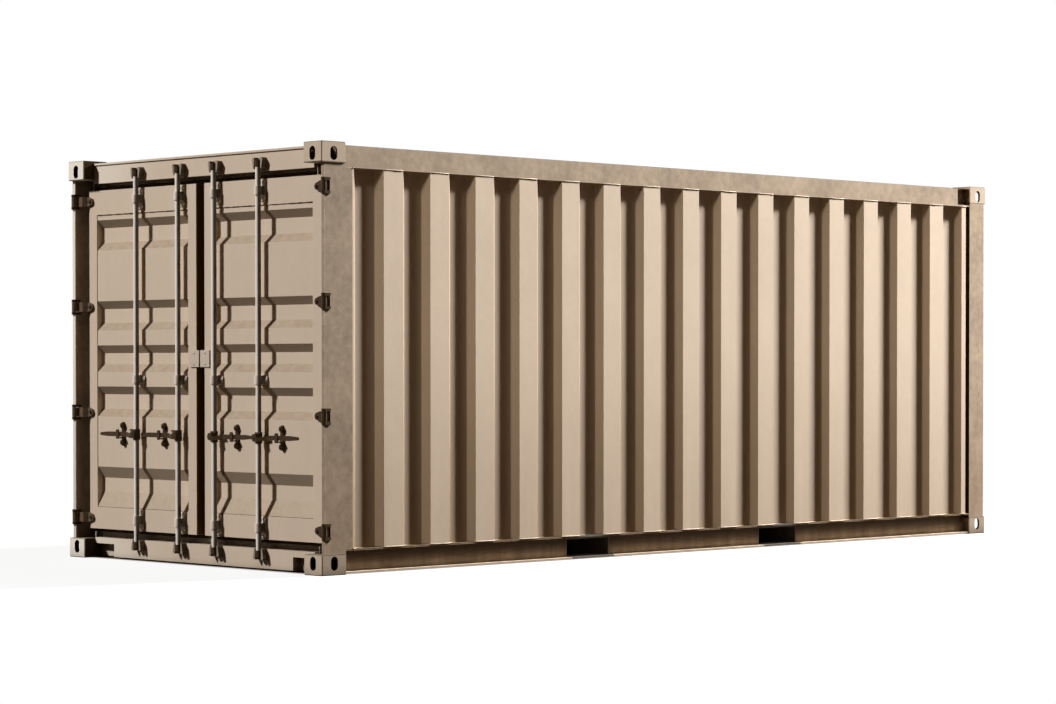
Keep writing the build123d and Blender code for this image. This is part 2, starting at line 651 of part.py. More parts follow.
# Door panel, pressed sheet with five pockets
with BuildPart() as door_panel:
    folds = [(PANEL_FACE, PANEL_LOW)]
    for top_share, height_share, lower, upper in zip(
        POCKET_TOP_SHARES, POCKET_HEIGHT_SHARES, POCKET_LOWER_SLOPES, POCKET_UPPER_SLOPES,
    ):
        top = PANEL_LOW + top_share * PANEL_HEIGHT
        bottom = top - height_share * PANEL_HEIGHT
        folds += [
            (PANEL_FACE, bottom), (PANEL_FACE + POCKET_DEPTH, bottom + lower),
            (PANEL_FACE + POCKET_DEPTH, top - upper), (PANEL_FACE, top),
        ]
    folds.append((PANEL_FACE, PANEL_LOW + PANEL_HEIGHT))
    pressed_sheet(
        Plane.YZ.offset(LEAF_CENTRE_GAP + STILE_WIDTH), folds, SHEET, Side.RIGHT,
        LEAF_OUTER - LEAF_CENTRE_GAP - 2 * STILE_WIDTH,
    )
save_pair("door_panel", door_panel)

# Rubber gasket round the back of the leaf
with BuildPart() as door_gasket:
    gasket_spans = (GASKET_CENTRE_GAP / 2, LEAF_OUTER + GASKET_LIP)
    with BuildSketch(Plane.XZ.offset(-LEAF_BACK)):
        with Locations((sum(gasket_spans) / 2, (LEAF_BOTTOM + LEAF_TOP) / 2)):
            Rectangle(gasket_spans[1] - gasket_spans[0], LEAF_TOP - LEAF_BOTTOM + 2 * GASKET_EDGE_LIP)
        with Locations((leaf_middle, (LEAF_BOTTOM + LEAF_TOP) / 2)):
            Rectangle(
                LEAF_OUTER - LEAF_CENTRE_GAP - 2 * GASKET_COVER,
                LEAF_TOP - LEAF_BOTTOM - 2 * GASKET_COVER,
                mode=Mode.SUBTRACT,
            )
    extrude(amount=-GASKET_THICKNESS)
save_pair("door_gasket", door_gasket)

# Hinge blades: a knuckle on the pin, a cranked arm and a tapered pad on the leaf
with BuildPart() as hinge_blades:
    blade_height = HINGE_HEIGHT - 2 * LUG_THICKNESS - 2 * LUG_CLEARANCE
    arm_front = PIN_Y + KNUCKLE_RADIUS
    pad_front = LEAF_FACE - BLADE_THICKNESS
    blade_end = PIN_X - BLADE_REACH
    blade_outline = [
        (PIN_X, PIN_Y), (PIN_X - KNUCKLE_RADIUS, PIN_Y), (PIN_X - KNUCKLE_RADIUS, arm_front),
        (LEAF_OUTER + BLADE_TIP_RADIUS, arm_front), (LEAF_OUTER, pad_front), (blade_end, pad_front),
        (blade_end, LEAF_FACE), (LEAF_OUTER, LEAF_FACE),
        (LEAF_OUTER + BLADE_TIP_RADIUS, arm_front + BLADE_THICKNESS), (PIN_X, arm_front + BLADE_THICKNESS),
    ]
    for place in HINGE_PLACES:
        prism(Plane.XY.offset(place - blade_height / 2), blade_outline, blade_height)
        with BuildSketch(Plane.XY.offset(place - blade_height / 2)):
            with Locations((PIN_X, PIN_Y)):
                RegularPolygon(KNUCKLE_RADIUS, ROUND_SIDES)
        extrude(amount=blade_height)
    with BuildSketch(Plane.XZ.offset(-DOOR_END)):
        for place in HINGE_PLACES:
            tip = blade_end + BLADE_TIP_RADIUS
            with Locations((tip, place)):
                RegularPolygon(BLADE_TIP_RADIUS, ROUND_SIDES)
            with BuildLine():
                Polyline(
                    (tip, place - BLADE_TIP_RADIUS), (LEAF_OUTER, place - blade_height / 2),
                    (HALF_WIDTH, place - blade_height / 2), (HALF_WIDTH, place + blade_height / 2),
                    (LEAF_OUTER, place + blade_height / 2), (tip, place + BLADE_TIP_RADIUS), close=True,
                )
            make_face()
    extrude(amount=-LEAF_SETBACK, mode=Mode.INTERSECT)
    with Locations(*[(PIN_X, PIN_Y, place) for place in HINGE_PLACES]):
        Cylinder(PIN_RADIUS + PIN_CLEARANCE, HINGE_HEIGHT, mode=Mode.SUBTRACT)
save_pair("hinge_blades", hinge_blades)

# Bar brackets: a bevelled foot, tall on the leaf's rails and wide on its panel, and a saddle over the bar
with BuildPart() as bar_brackets:
    clip_bore = BAR_RADIUS + BRACKET_CLEARANCE
    clip_front = BAR_Y - clip_bore - BRACKET_CAP
    clip_width = 2 * (clip_bore + BRACKET_CAP)
    end_foot = (END_FOOT_WIDTH, END_FOOT_HEIGHT)
    middle_foot = (MIDDLE_FOOT_WIDTH, MIDDLE_FOOT_HEIGHT)
    bracket_seats = (
        (LEAF_BOTTOM + LOW_BRACKET_RISE, LEAF_FACE, end_foot),
        (PANEL_LOW + MIDDLE_BRACKET_SHARE * PANEL_HEIGHT, PANEL_FACE, middle_foot),
        (LEAF_TOP - TOP_BRACKET_DROP, LEAF_FACE, end_foot),
    )
    for place in BAR_PLACES:
        for height, seat, foot_size in bracket_seats:
            with BuildSketch(Plane.XZ.offset(-seat)) as foot:
                with Locations((place, height)):
                    Rectangle(*foot_size)
                chamfer(foot.vertices(), BRACKET_BEVEL)
            extrude(amount=seat - LEAF_FACE + BRACKET_FOOT)
            block(
                (place - clip_width / 2, place + clip_width / 2),
                (clip_front, seat),
                (height - BRACKET_HEIGHT / 2, height + BRACKET_HEIGHT / 2),
            )
            block(
                (place - clip_bore, place + clip_bore),
                (BAR_Y, LEAF_FACE - BRACKET_FOOT),
                (height - BRACKET_HEIGHT / 2, height + BRACKET_HEIGHT / 2),
                mode=Mode.SUBTRACT,
            )
    with Locations(*[(place, BAR_Y, HEIGHT / 2) for place in BAR_PLACES]):
        Cylinder(clip_bore, HEIGHT, mode=Mode.SUBTRACT)
save_pair("bar_brackets", bar_brackets)

# Handle retainers on the panel
with BuildPart() as handle_retainers:
    handle_low = HANDLE_PLACE - HANDLE_HEIGHT / 2
    ledge_top = handle_low - LEDGE_CLEARANCE
    for place in BAR_PLACES:
        retainer = place + RETAINER_PLACE
        with BuildSketch(Plane.XZ.offset(-PANEL_FACE)) as plate:
            with Locations((retainer, HANDLE_PLACE)):
                Rectangle(RETAINER_WIDTH, RETAINER_HEIGHT)
            chamfer(plate.vertices(), RETAINER_BEVEL)
        extrude(amount=RETAINER_PLATE)
        with BuildSketch(Plane.XZ.offset(-PANEL_FACE)):
            with Locations((retainer, HANDLE_PLACE)), GridLocations(BOSS_SPACING, BOSS_SPACING, 1, 2):
                RegularPolygon(BOSS_RADIUS, ROUND_SIDES)
        extrude(amount=BOSS_DEPTH)
        block(
            (retainer - RETAINER_WIDTH / 2, retainer + RETAINER_WIDTH / 2),
            (PANEL_FACE - LEDGE_DEPTH, PANEL_FACE),
            (ledge_top - LEDGE_THICKNESS, ledge_top),
        )
save_pair("handle_retainers", handle_retainers)

# Centre plates, one half on each leaf
with BuildPart() as centre_plate:
    block(
        (CENTRE_PLATE_GAP / 2, CENTRE_PLATE_WIDTH),
        (LEAF_FACE - CENTRE_PLATE_THICKNESS, LEAF_FACE),
        (CENTRE_PLATE_PLACE - CENTRE_PLATE_HEIGHT / 2, CENTRE_PLATE_PLACE + CENTRE_PLATE_HEIGHT / 2),
    )
save_pair("centre_plate", centre_plate)

# Locking bars, tubes between the cams
for name, place in zip(("inner_bar", "outer_bar"), BAR_PLACES):
    with BuildPart() as bar:
        with BuildSketch(Plane.XY.offset(BAR_BOTTOM + CAM_HEIGHT)):
            with Locations((place, BAR_Y)):
                Circle(BAR_RADIUS)
        extrude(amount=BAR_TOP - BAR_BOTTOM - 2 * CAM_HEIGHT)
    save_pair(name, bar)

# Fittings of each bar: a cam on each end, and the hub that carries the handle's pin
for name, place in zip(("inner_bar_fittings", "outer_bar_fittings"), BAR_PLACES):
    with BuildPart() as fittings:
        tongue_end = HEADER_FACE - KEEPER_PLATE - CAM_CLEARANCE
        for low in (BAR_BOTTOM, BAR_TOP - CAM_HEIGHT):
            with BuildSketch(Plane.XY.offset(low)):
                with Locations((place, BAR_Y)):
                    RegularPolygon(CAM_RADIUS, ROUND_SIDES)
                with Locations((place, (BAR_Y + tongue_end) / 2)):
                    Rectangle(CAM_TONGUE_WIDTH, tongue_end - BAR_Y)
            extrude(amount=CAM_HEIGHT)
        with BuildSketch(Plane.XY.offset(HANDLE_PLACE - HUB_HEIGHT / 2)):
            with Locations((place, BAR_Y)):
                Circle(HUB_RADIUS)
        extrude(amount=HUB_HEIGHT)
        block(
            (place, place + FINGER_REACH),
            (BAR_Y - HUB_RADIUS, BAR_Y - HUB_RADIUS + FINGER_THICKNESS),
            (HANDLE_PLACE + HUB_HEIGHT / 2 - FINGER_HEIGHT, HANDLE_PLACE + HUB_HEIGHT / 2),
        )
        with Locations((place, BAR_Y, HANDLE_PLACE)):
            Cylinder(BAR_RADIUS + HUB_SEAT_GAP, HUB_HEIGHT, mode=Mode.SUBTRACT)
        pin_end = HUB_RADIUS + HANDLE_EYE_GAP + HANDLE_THICKNESS + HUB_PIN_HEAD
        with BuildSketch(Plane.XZ.offset(HUB_PIN_ROOT - BAR_Y)):
            with Locations((place, HANDLE_PLACE)):
                Circle(HUB_PIN_RADIUS)
        extrude(amount=pin_end - HUB_PIN_ROOT)
    save_pair(name, fittings)

# Handles, each with an eye on the hub's pin, bent back towards the leaf
for name, place in zip(("inner_handle", "outer_handle"), BAR_PLACES):
    with BuildPart() as handle:
        eye_back = BAR_Y - HUB_RADIUS - HANDLE_EYE_GAP
        eye_front = eye_back - HANDLE_THICKNESS
        arm_face = DOOR_END + HANDLE_SETBACK
        arm_back = arm_face + HANDLE_THICKNESS
        end = place + HANDLE_LENGTH
        plan_outline = [
            (place, eye_front), (place + HANDLE_BEND_START, eye_front), (place + HANDLE_BEND_END, arm_face),
            (end, arm_face), (end, arm_back), (place + HANDLE_BEND_END, arm_back),
            (place + HANDLE_BEND_START, eye_back), (place, eye_back),
        ]
        prism(Plane.XY.offset(HANDLE_PLACE - HUB_HEIGHT / 2), plan_outline, HUB_HEIGHT)
        arm_low = HANDLE_PLACE - HANDLE_HEIGHT / 2
        arm_high = HANDLE_PLACE + HANDLE_HEIGHT / 2
        root_low = HANDLE_PLACE - HANDLE_DIP - HANDLE_ROOT_HEIGHT / 2
        tip = end - HANDLE_TIP_RADIUS
        tip_low = (tip, HANDLE_PLACE - HANDLE_TIP_RADIUS)
        tip_high = (tip, HANDLE_PLACE + HANDLE_TIP_RADIUS)
        with BuildSketch(Plane.XZ.offset(-arm_back)):
            with BuildLine():
                Polyline(
                    tip_low, (end - HANDLE_TAPER, arm_low), (place + HANDLE_RISE_END, arm_low),
                    (place, root_low), (place, root_low + HANDLE_ROOT_HEIGHT),
                    (place + HANDLE_RISE_END, arm_high), (end - HANDLE_TAPER, arm_high), tip_high,
                )
                ThreePointArc(tip_high, (end, HANDLE_PLACE), tip_low)
            make_face()
        extrude(amount=arm_back - eye_front, mode=Mode.INTERSECT)
        with BuildSketch(Plane.XZ.offset(-eye_back)):
            with Locations((place, HANDLE_PLACE)):
                Circle(HANDLE_EYE_RADIUS)
        extrude(amount=HANDLE_THICKNESS)
        with BuildSketch(Plane.XZ.offset(-arm_face)) as collar:
            with Locations((place + RETAINER_PLACE, HANDLE_PLACE)):
                Rectangle(COLLAR_WIDTH, COLLAR_HEIGHT)
            chamfer(collar.vertices(), COLLAR_BEVEL)
        extrude(amount=COLLAR_THICKNESS)
        with BuildSketch(Plane.XZ.offset(-eye_back)):
            with Locations((place, HANDLE_PLACE)):
                Circle(HUB_PIN_RADIUS + PIN_CLEARANCE)
        extrude(amount=HANDLE_THICKNESS, mode=Mode.SUBTRACT)
    save_pair(name, handle)
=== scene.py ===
"""Looks, loose pieces and light of a twenty foot shipping container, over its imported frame.

X runs across the width, Y along the length with the doors at the low end, and Z up. Lengths are in metres.
"""

import logging
import math
import random
from abc import ABC, abstractmethod
from dataclasses import dataclass
from enum import Enum
from typing import Dict, Iterable, List, Mapping, Optional, Sequence, Tuple, Union

import bmesh
import bpy
from mathutils import Matrix, Vector


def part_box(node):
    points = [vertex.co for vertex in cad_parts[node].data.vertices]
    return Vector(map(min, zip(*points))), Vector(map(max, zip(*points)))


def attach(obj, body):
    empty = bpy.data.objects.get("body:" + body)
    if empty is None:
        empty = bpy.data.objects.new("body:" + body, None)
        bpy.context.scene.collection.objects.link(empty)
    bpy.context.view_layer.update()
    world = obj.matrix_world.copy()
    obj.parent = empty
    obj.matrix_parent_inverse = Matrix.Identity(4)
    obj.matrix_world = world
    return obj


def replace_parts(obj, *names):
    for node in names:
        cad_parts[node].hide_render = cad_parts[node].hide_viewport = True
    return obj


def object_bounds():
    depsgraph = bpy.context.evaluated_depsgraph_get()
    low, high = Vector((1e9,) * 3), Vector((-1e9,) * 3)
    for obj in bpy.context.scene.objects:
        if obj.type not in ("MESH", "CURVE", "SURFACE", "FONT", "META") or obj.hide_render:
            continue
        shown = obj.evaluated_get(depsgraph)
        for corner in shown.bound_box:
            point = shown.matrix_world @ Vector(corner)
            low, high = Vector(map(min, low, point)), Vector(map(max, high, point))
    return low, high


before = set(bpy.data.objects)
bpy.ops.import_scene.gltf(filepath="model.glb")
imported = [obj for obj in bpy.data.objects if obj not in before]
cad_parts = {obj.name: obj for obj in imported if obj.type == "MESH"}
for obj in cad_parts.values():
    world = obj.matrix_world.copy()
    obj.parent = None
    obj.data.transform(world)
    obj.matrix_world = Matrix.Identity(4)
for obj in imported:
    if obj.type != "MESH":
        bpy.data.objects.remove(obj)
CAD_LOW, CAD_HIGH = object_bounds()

LOG = logging.getLogger("container")

Triple = Tuple[float, float, float]
Pair = Tuple[float, float]
Colour = Triple
Band = Pair
Key = Union[int, str]
Number = Union["Wire", float]

OUTWARD = Vector((0.0, -1.0, 0.0))
UPWARD = Vector((0.0, 0.0, 1.0))
# Depth by which a loose piece sinks into its seat
SINK = 0.0005
# Limits of the normal's Y on faces that look out of the door end
DOORWARD: Band = (-0.5, -0.9)
RAY_KINDS = ("Camera", "Glossy", "Transmission")
WHITE: Colour = (1.0, 1.0, 1.0)
WARM: Colour = (1.0, 0.78, 0.55)
CREAM: Colour = (0.66, 0.535, 0.41)
# Near black of painted shade: the deep jambs, and under the header's lip through the corner shade
GAP_SHADE: Colour = (0.022, 0.011, 0.003)
# Pale cream of painted light on the left end of the door face
LIT_CREAM: Colour = (0.96, 0.87, 0.75)


class Slot(Enum):
    """Material slots of the record, handed to each loose piece but not read."""

    FRAME = "frame"
    WALLS = "walls"
    DOORS = "doors"
    GEAR = "gear"
    BARS = "bars"
    RUBBER = "rubber"
    WOOD = "wood"


class Side(Enum):
    """The two sides of the container, with the sign of X on each."""

    RIGHT = 1.0
    LEFT = -1.0

    @property
    def label(self) -> str:
        """Name of the side as it stands in node names."""
        return self.name.lower()


class Reach(Enum):
    """What a lamp shines on: everything, the named nodes only, or everything but those."""

    ALL = "ALL"
    ONLY = "INCLUDE"
    EXCEPT = "EXCLUDE"


class Bar(Enum):
    """The two locking bars of a door leaf, with their distance from the middle."""

    INNER = 0.174
    OUTER = 0.589


class Wire:
    """A shader socket that takes part in Python sums through Math nodes."""

    def __init__(self, graph: "Graph", socket: bpy.types.NodeSocket) -> None:
        """Keeps the socket and the graph that it belongs to."""
        self.graph = graph
        self.socket = socket

    def __add__(self, other: Number) -> "Wire":
        """Sum of this socket and a value."""
        return self.graph.math("ADD", self, other)

    def __radd__(self, other: Number) -> "Wire":
        """Sum of a value and this socket."""
        return self.graph.math("ADD", other, self)

    def __sub__(self, other: Number) -> "Wire":
        """This socket less a value."""
        return self.graph.math("SUBTRACT", self, other)

    def __rsub__(self, other: Number) -> "Wire":
        """A value less this socket."""
        return self.graph.math("SUBTRACT", other, self)

    def __mul__(self, other: Number) -> "Wire":
        """Product of this socket and a value."""
        return self.graph.math("MULTIPLY", self, other)

    def __rmul__(self, other: Number) -> "Wire":
        """Product of a value and this socket."""
        return self.graph.math("MULTIPLY", other, self)


class Graph:
    """The node tree of one material, or of the world."""

    def __init__(self, owner: Union[bpy.types.Material, bpy.types.World]) -> None:
        """Takes the tree of a material or world and empties it.

        Args:
            owner: the material or world whose nodes are built.
        """
        owner.use_nodes = True
        self.tree = owner.node_tree
        self.tree.nodes.clear()

    def node(
        self,
        kind: str,
        settings: Optional[Mapping[str, object]] = None,
        inputs: Optional[Mapping[Key, object]] = None,
        output: Key = 0,
    ) -> Wire:
        """Adds one node.

        Args:
            kind: node type.
            settings: node properties, set before the inputs.
            inputs: wires, numbers, vectors or colours by socket name or place.
            output: name or place of the socket that is handed back.

        Returns:
            The chosen output.
        """
        made = self.tree.nodes.new(kind)
        for name, value in (settings or {}).items():
            setattr(made, name, value)
        for key, value in (inputs or {}).items():
            socket = made.inputs[key]
            if isinstance(value, Wire):
                self.tree.links.new(value.socket, socket)
            elif socket.type == "RGBA":
                socket.default_value = (*value, 1.0)
            else:
                socket.default_value = value
        return Wire(self, made.outputs[output]) if len(made.outputs) else Wire(self, made.inputs[0])

    def math(self, operation: str, first: Number, second: Number) -> Wire:
        """Adds one Math node on two values."""
        return self.node("ShaderNodeMath", {"operation": operation}, {0: first, 1: second})

    def place(self, stretch: Triple = (1.0, 1.0, 1.0)) -> Wire:
        """Gives the place on the object in metres, stretched along each axis."""
        place = self.node("ShaderNodeTexCoord", output="Object")
        return self.node("ShaderNodeVectorMath", {"operation": "MULTIPLY"}, {0: place, 1: stretch})

    def noise(self, place: Wire, scale: float, detail: float = 3.0, rough: float = 0.55) -> Wire:
        """Gives a noise value between 0 and 1 around one half."""
        inputs = {"Vector": place, "Scale": scale, "Detail": detail, "Roughness": rough}
        return self.node("ShaderNodeTexNoise", inputs=inputs)

    def step(self, value: Wire, low: float, high: float) -> Wire:
        """Gives a soft step from 0 at the low value to 1 at the high one."""
        settings = {"interpolation_type": "SMOOTHSTEP"}
        return self.node("ShaderNodeMapRange", settings, {0: value, 1: low, 2: high, 3: 0.0, 4: 1.0})

    def mix(self, factor: Number, first: Union[Wire, Colour], second: Union[Wire, Colour]) -> Wire:
        """Mixes two colours by a factor."""
        settings = {"data_type": "RGBA", "clamp_factor": True}
        return self.node("ShaderNodeMix", settings, {0: factor, 6: first, 7: second}, 2)

    def tint(self, colour: Union[Wire, Colour], level: Wire) -> Wire:
        """Multiplies a colour by a level."""
        settings = {"data_type": "RGBA", "blend_type": "MULTIPLY"}
        return self.node("ShaderNodeMix", settings, {0: 1.0, 6: colour, 7: level}, 2)

    def axis(self, vector: Wire, name: str) -> Wire:
        """Gives one part of a vector."""
        return self.node("ShaderNodeSeparateXYZ", inputs={0: vector}, output=name)

    def band(self, place: Wire, axis: str, limits: Band) -> Wire:
        """Gives a soft step along one axis, from 0 at the first limit to 1 at the second."""
        return self.step(self.axis(place, axis), *limits)

    def edges(self, radius: float) -> Wire:
        """Gives a value that rises from 0 near the edges of the shape.

        Args:
            radius: reach of the edges.

        Returns:
            The value, from 0 on flat faces.
        """
        soft = self.node("ShaderNodeBevel", {"samples": 4}, {"Radius": radius})
        plain = self.node("ShaderNodeNewGeometry", output="Normal")
        settings = {"operation": "DOT_PRODUCT"}
        return 1.0 - self.node("ShaderNodeVectorMath", settings, {0: soft, 1: plain}, "Value")

    def corners(self, reach: float) -> Wire:
        """Gives a value that rises from 0 to 1 in inner corners and narrow gaps."""
        settings = {"samples": 6, "only_local": False}
        return 1.0 - self.node("ShaderNodeAmbientOcclusion", settings, {"Distance": reach}, "AO")

    def facing(self, low: float, high: float, axis: str = "Z") -> Wire:
        """Gives 1 where the surface faces along an axis past a limit, and 0 elsewhere."""
        normal = self.node("ShaderNodeNewGeometry", output="Normal")
        return self.step(self.axis(normal, axis), low, high)

    def bump(self, height: Wire, depth: float) -> Wire:
        """Gives a normal that follows a height."""
        return self.node("ShaderNodeBump", inputs={"Distance": depth, "Height": height})

    def background_ray(self) -> Wire:
        """Gives 1 for rays that may see the background: camera, glossy and transmission rays."""
        kinds = [self.node("ShaderNodeLightPath", output=f"Is {kind} Ray") for kind in RAY_KINDS]
        return kinds[0] + kinds[1] + kinds[2]

    def surface(self, inputs: Mapping[str, object]) -> None:
        """Closes the tree with a Principled surface.

        Args:
            inputs: wires and values of the Principled node by name.
        """
        shader = self.node("ShaderNodeBsdfPrincipled", inputs=inputs)
        self.node("ShaderNodeOutputMaterial", inputs={"Surface": shader})


@dataclass(frozen=True)
class Finish(ABC):
    """A procedural surface with a name and a main colour."""

    name: str
    base: Colour

    def material(self) -> bpy.types.Material:
        """Makes the material of this finish.

        Returns:
            The new material.
        """
        made = bpy.data.materials.new(self.name)
        self.wire(Graph(made))
        LOG.info("finish %s", self.name)
        return made

    @abstractmethod
    def wire(self, graph: Graph) -> None:
        """Builds the nodes of the finish in an empty tree."""


@dataclass(frozen=True)
class Marks:
    """The place on a painted part and the noises that its paint shares."""

    place: Wire
    broad: Wire
    patch: Wire
    fine: Wire
    runs: Wire


@dataclass(frozen=True)
class Paint(Finish):
    """Weathered paint on steel: soft mottle, grime on ledges and at the foot, painted shade in corners and on
    faces turned down or to +X, rubbed edges that are partly painted highlight, and painted light by place.
    """

    # Colour of dirt, chips and painted shade
    grime: Colour = (0.12, 0.062, 0.022)
    # Colour of rubbed edges and of painted light, lighter than the paint
    worn: Colour = (0.80, 0.66, 0.52)
    roughness: float = 0.55
    sheen: float = 0.12
    ripple: float = 0.0006
    # Strength of each mark
    mottle: float = 0.05
    grain: float = 0.03
    streaks: float = 0.03
    edge_wear_and_light: float = 0.35
    chips: float = 0.2
    corner_grime: float = 0.5
    ledges: float = 0.0
    underside_shade: float = 0.0
    road: float = 0.0
    flank_shade: float = 0.0
    foot: float = 0.0
    splash: float = 0.0
    jamb_shade: float = 0.0
    left_light: float = 0.0
    # Scale and reach of each mark
    broad_scale: float = 3.5
    patch_scale: float = 22.0
    fine_scale: float = 160.0
    flake_scale: float = 60.0
    run_stretch: Triple = (14.0, 14.0, 0.7)
    corner_reach: float = 0.05
    edge_reach: float = 0.006
    # Places in metres between which a mark comes in
    foot_band: Band = (1.5, 0.1)
    splash_band: Band = (0.12, 0.03)
    left_band: Band = (0.0, -0.5)
    jamb_shade_band: Band = (-2.93, -2.90)
    left_light_band: Band = (-1.0, -1.06)
    # Slopes of the face between which a mark comes in
    ledge_band: Band = (0.15, 0.5)
    underside_band: Band = (-0.15, -0.4)
    road_band: Band = (0.3, 0.55)
    flank_shade_band: Band = (0.5, 0.9)

    def wire(self, graph: Graph) -> None:
        """Builds the paint's nodes.

        Args:
            graph: the empty tree.
        """
        place = graph.place()
        marks = Marks(
            place,
            broad=graph.noise(place, self.broad_scale, 4.0),
            patch=graph.noise(place, self.patch_scale, 4.0, 0.6),
            fine=graph.noise(place, self.fine_scale, 2.0),
            runs=graph.noise(graph.place(self.run_stretch), 1.0, 3.0),
        )
        dirt = self.dirt(graph, marks)
        colour = graph.mix(dirt, self.aged(graph, marks), self.grime)
        # Painted shade: door-facing faces in the deep jambs go near black
        if self.jamb_shade:
            deep = graph.band(place, "Y", self.jamb_shade_band) * graph.facing(*DOORWARD, "Y")
            colour = graph.mix(deep * self.jamb_shade * (0.7 + marks.patch * 0.6), colour, GAP_SHADE)
        graph.surface({
            "Base Color": colour,
            "Roughness": self.roughness + (marks.patch - 0.5) * 0.2 + dirt * 0.15,
            "Normal": graph.bump(marks.broad + marks.patch * 0.35 + marks.fine * 0.06, self.ripple),
            "Specular IOR Level": self.sheen,
            "Specular Tint": WARM,
        })

    def aged(self, graph: Graph, marks: Marks) -> Wire:
        """Gives the paint's colour with mottle, rubbed edges that are partly painted highlight, painted light
        towards the left end and at the foot, and chips.

        Args:
            graph: the tree.
            marks: noises of the part.

        Returns:
            The colour below the dirt and painted shade.
        """
        level = 1.0 + (marks.broad + marks.patch - 1.0) * self.mottle * 2.0
        level = level + (marks.fine - 0.5) * self.grain * 2.0 + (marks.runs - 0.5) * self.streaks * 2.0
        edge = graph.edges(self.edge_reach)
        # Rubbed edges go light: partly wear, partly painted highlight on edges
        rubbed_and_lit = graph.step(edge, 0.005, 0.06) * self.edge_wear_and_light * (0.5 + marks.patch)
        colour = graph.mix(rubbed_and_lit, graph.tint(self.base, level), self.worn)
        # Painted light: door-facing faces towards the left end go pale cream
        if self.left_light:
            new = graph.band(marks.place, "X", self.left_light_band) * graph.facing(*DOORWARD, "Y")
            colour = graph.mix(new * self.left_light, colour, LIT_CREAM)
        # Painted light: a band at the foot of the part goes light
        if self.splash:
            low = graph.band(marks.place, "Z", self.splash_band)
            colour = graph.mix(low * self.splash * (0.3 + marks.runs * 1.3), colour, self.worn)
        flakes = graph.step(graph.noise(marks.place, self.flake_scale, 4.0, 0.7), 0.60, 0.66)
        return graph.mix(graph.step(edge, 0.004, 0.03) * flakes * self.chips, colour, self.grime)

    def dirt(self, graph: Graph, marks: Marks) -> Wire:
        """Gives the cover of dirt in corners and on the faces that collect it.

        Args:
            Gives the cover of painted shade in corners and on faces turned down or to +X, darkening on faces
            turned to +Y, and dirt on ledges and at the foot.
            marks: noises of the part.

        Returns:
            The cover, from 0 to 1 and above where layers meet.
        """
        patch = marks.patch
        # Painted shade: inner corners, holes and the space under overhangs go dark
        deep = graph.step(graph.corners(self.corner_reach), 0.35, 0.95)
        dirt = deep * (0.55 + patch * 0.9) * self.corner_grime
        if self.ledges:
            dirt = dirt + graph.facing(*self.ledge_band) * self.ledges * (0.6 + patch * 0.8)
        # Painted shade: faces that turn downwards go dark
        if self.underside_shade:
            dirt = dirt + graph.facing(*self.underside_band) * self.underside_shade
        # Faces that turn towards +Y, which the wall lamp lights, go darker
        if self.road:
            dirt = dirt + graph.facing(*self.road_band, "Y") * self.road * (0.75 + patch * 0.5)
        # Painted shade: faces that turn towards +X go dark, more so low down and fully at the left end
        if self.flank_shade:
            low = graph.band(marks.place, "Z", self.foot_band)
            left = graph.band(marks.place, "X", self.left_band)
            dirt = dirt + graph.facing(*self.flank_shade_band, "X") * (self.flank_shade * (0.5 + low) + left)
        if self.foot:
            low = graph.band(marks.place, "Z", self.foot_band)
            dirt = dirt + low * self.foot * (0.4 + marks.runs * 1.2)
        return dirt


@dataclass(frozen=True)
class DarkSteel(Finish):
    """Dark painted gear with rubbed edges, which are partly wear and partly painted highlight."""

    rubbed_and_lit: Colour = (0.13, 0.085, 0.048)
    roughness: float = 0.5
    edge_reach: float = 0.003
    sheen: float = 0.12
    patch_scale: float = 45.0
    fine_scale: float = 320.0
    ripple: float = 0.0006

    def wire(self, graph: Graph) -> None:
        """Builds the nodes of dark steel.

        Args:
            graph: the empty tree.
        """
        place = graph.place()
        patch = graph.noise(place, self.patch_scale, 4.0, 0.6)
        fine = graph.noise(place, self.fine_scale, 2.0)
        colour = graph.tint(self.base, 0.7 + patch * 0.6)
        # Rubbed edges go light: partly wear, partly painted highlight
        worn = graph.step(graph.edges(self.edge_reach), 0.01, 0.12) * graph.step(patch, 0.35, 0.65)
        colour = graph.mix(worn * 0.7, colour, self.rubbed_and_lit)
        graph.surface({
            "Base Color": colour,
            "Roughness": self.roughness + (patch - 0.5) * 0.3,
            "Normal": graph.bump(patch + fine * 0.3, self.ripple),
            "Specular IOR Level": self.sheen,
            "Specular Tint": WARM,
        })


@dataclass(frozen=True)
class Galvanised(Finish):
    """Dulled zinc on bars, straps and bolts, with dark smears and painted shade on the flank that turns to
    +X.
    """

    smear: Colour = (0.05, 0.034, 0.02)
    metallic: float = 0.0
    roughness: float = 0.36
    smears: float = 0.5
    shade: float = 0.0
    shade_band: Band = (0.45, 0.85)
    sheen: float = 0.25
    patch_stretch: Triple = (1.0, 1.0, 0.25)
    patch_scale: float = 30.0
    fine_scale: float = 260.0
    ripple: float = 0.0003

    def wire(self, graph: Graph) -> None:
        """Builds the nodes of dulled zinc.

        Args:
            graph: the empty tree.
        """
        patch = graph.noise(graph.place(self.patch_stretch), self.patch_scale, 4.0, 0.6)
        fine = graph.noise(graph.place(), self.fine_scale, 2.0)
        dirt = graph.step(patch, 0.45, 0.75) * self.smears
        # Painted shade: faces that turn towards +X go dark
        if self.shade:
            dirt = dirt + graph.facing(*self.shade_band, "X") * self.shade
        graph.surface({
            "Base Color": graph.mix(dirt, graph.tint(self.base, 0.85 + patch * 0.3), self.smear),
            "Metallic": self.metallic - dirt * 0.4,
            "Roughness": self.roughness + patch * 0.15 + dirt * 0.2,
            "Normal": graph.bump(patch + fine * 0.2, self.ripple),
            "Specular IOR Level": self.sheen,
            "Specular Tint": WARM,
        })


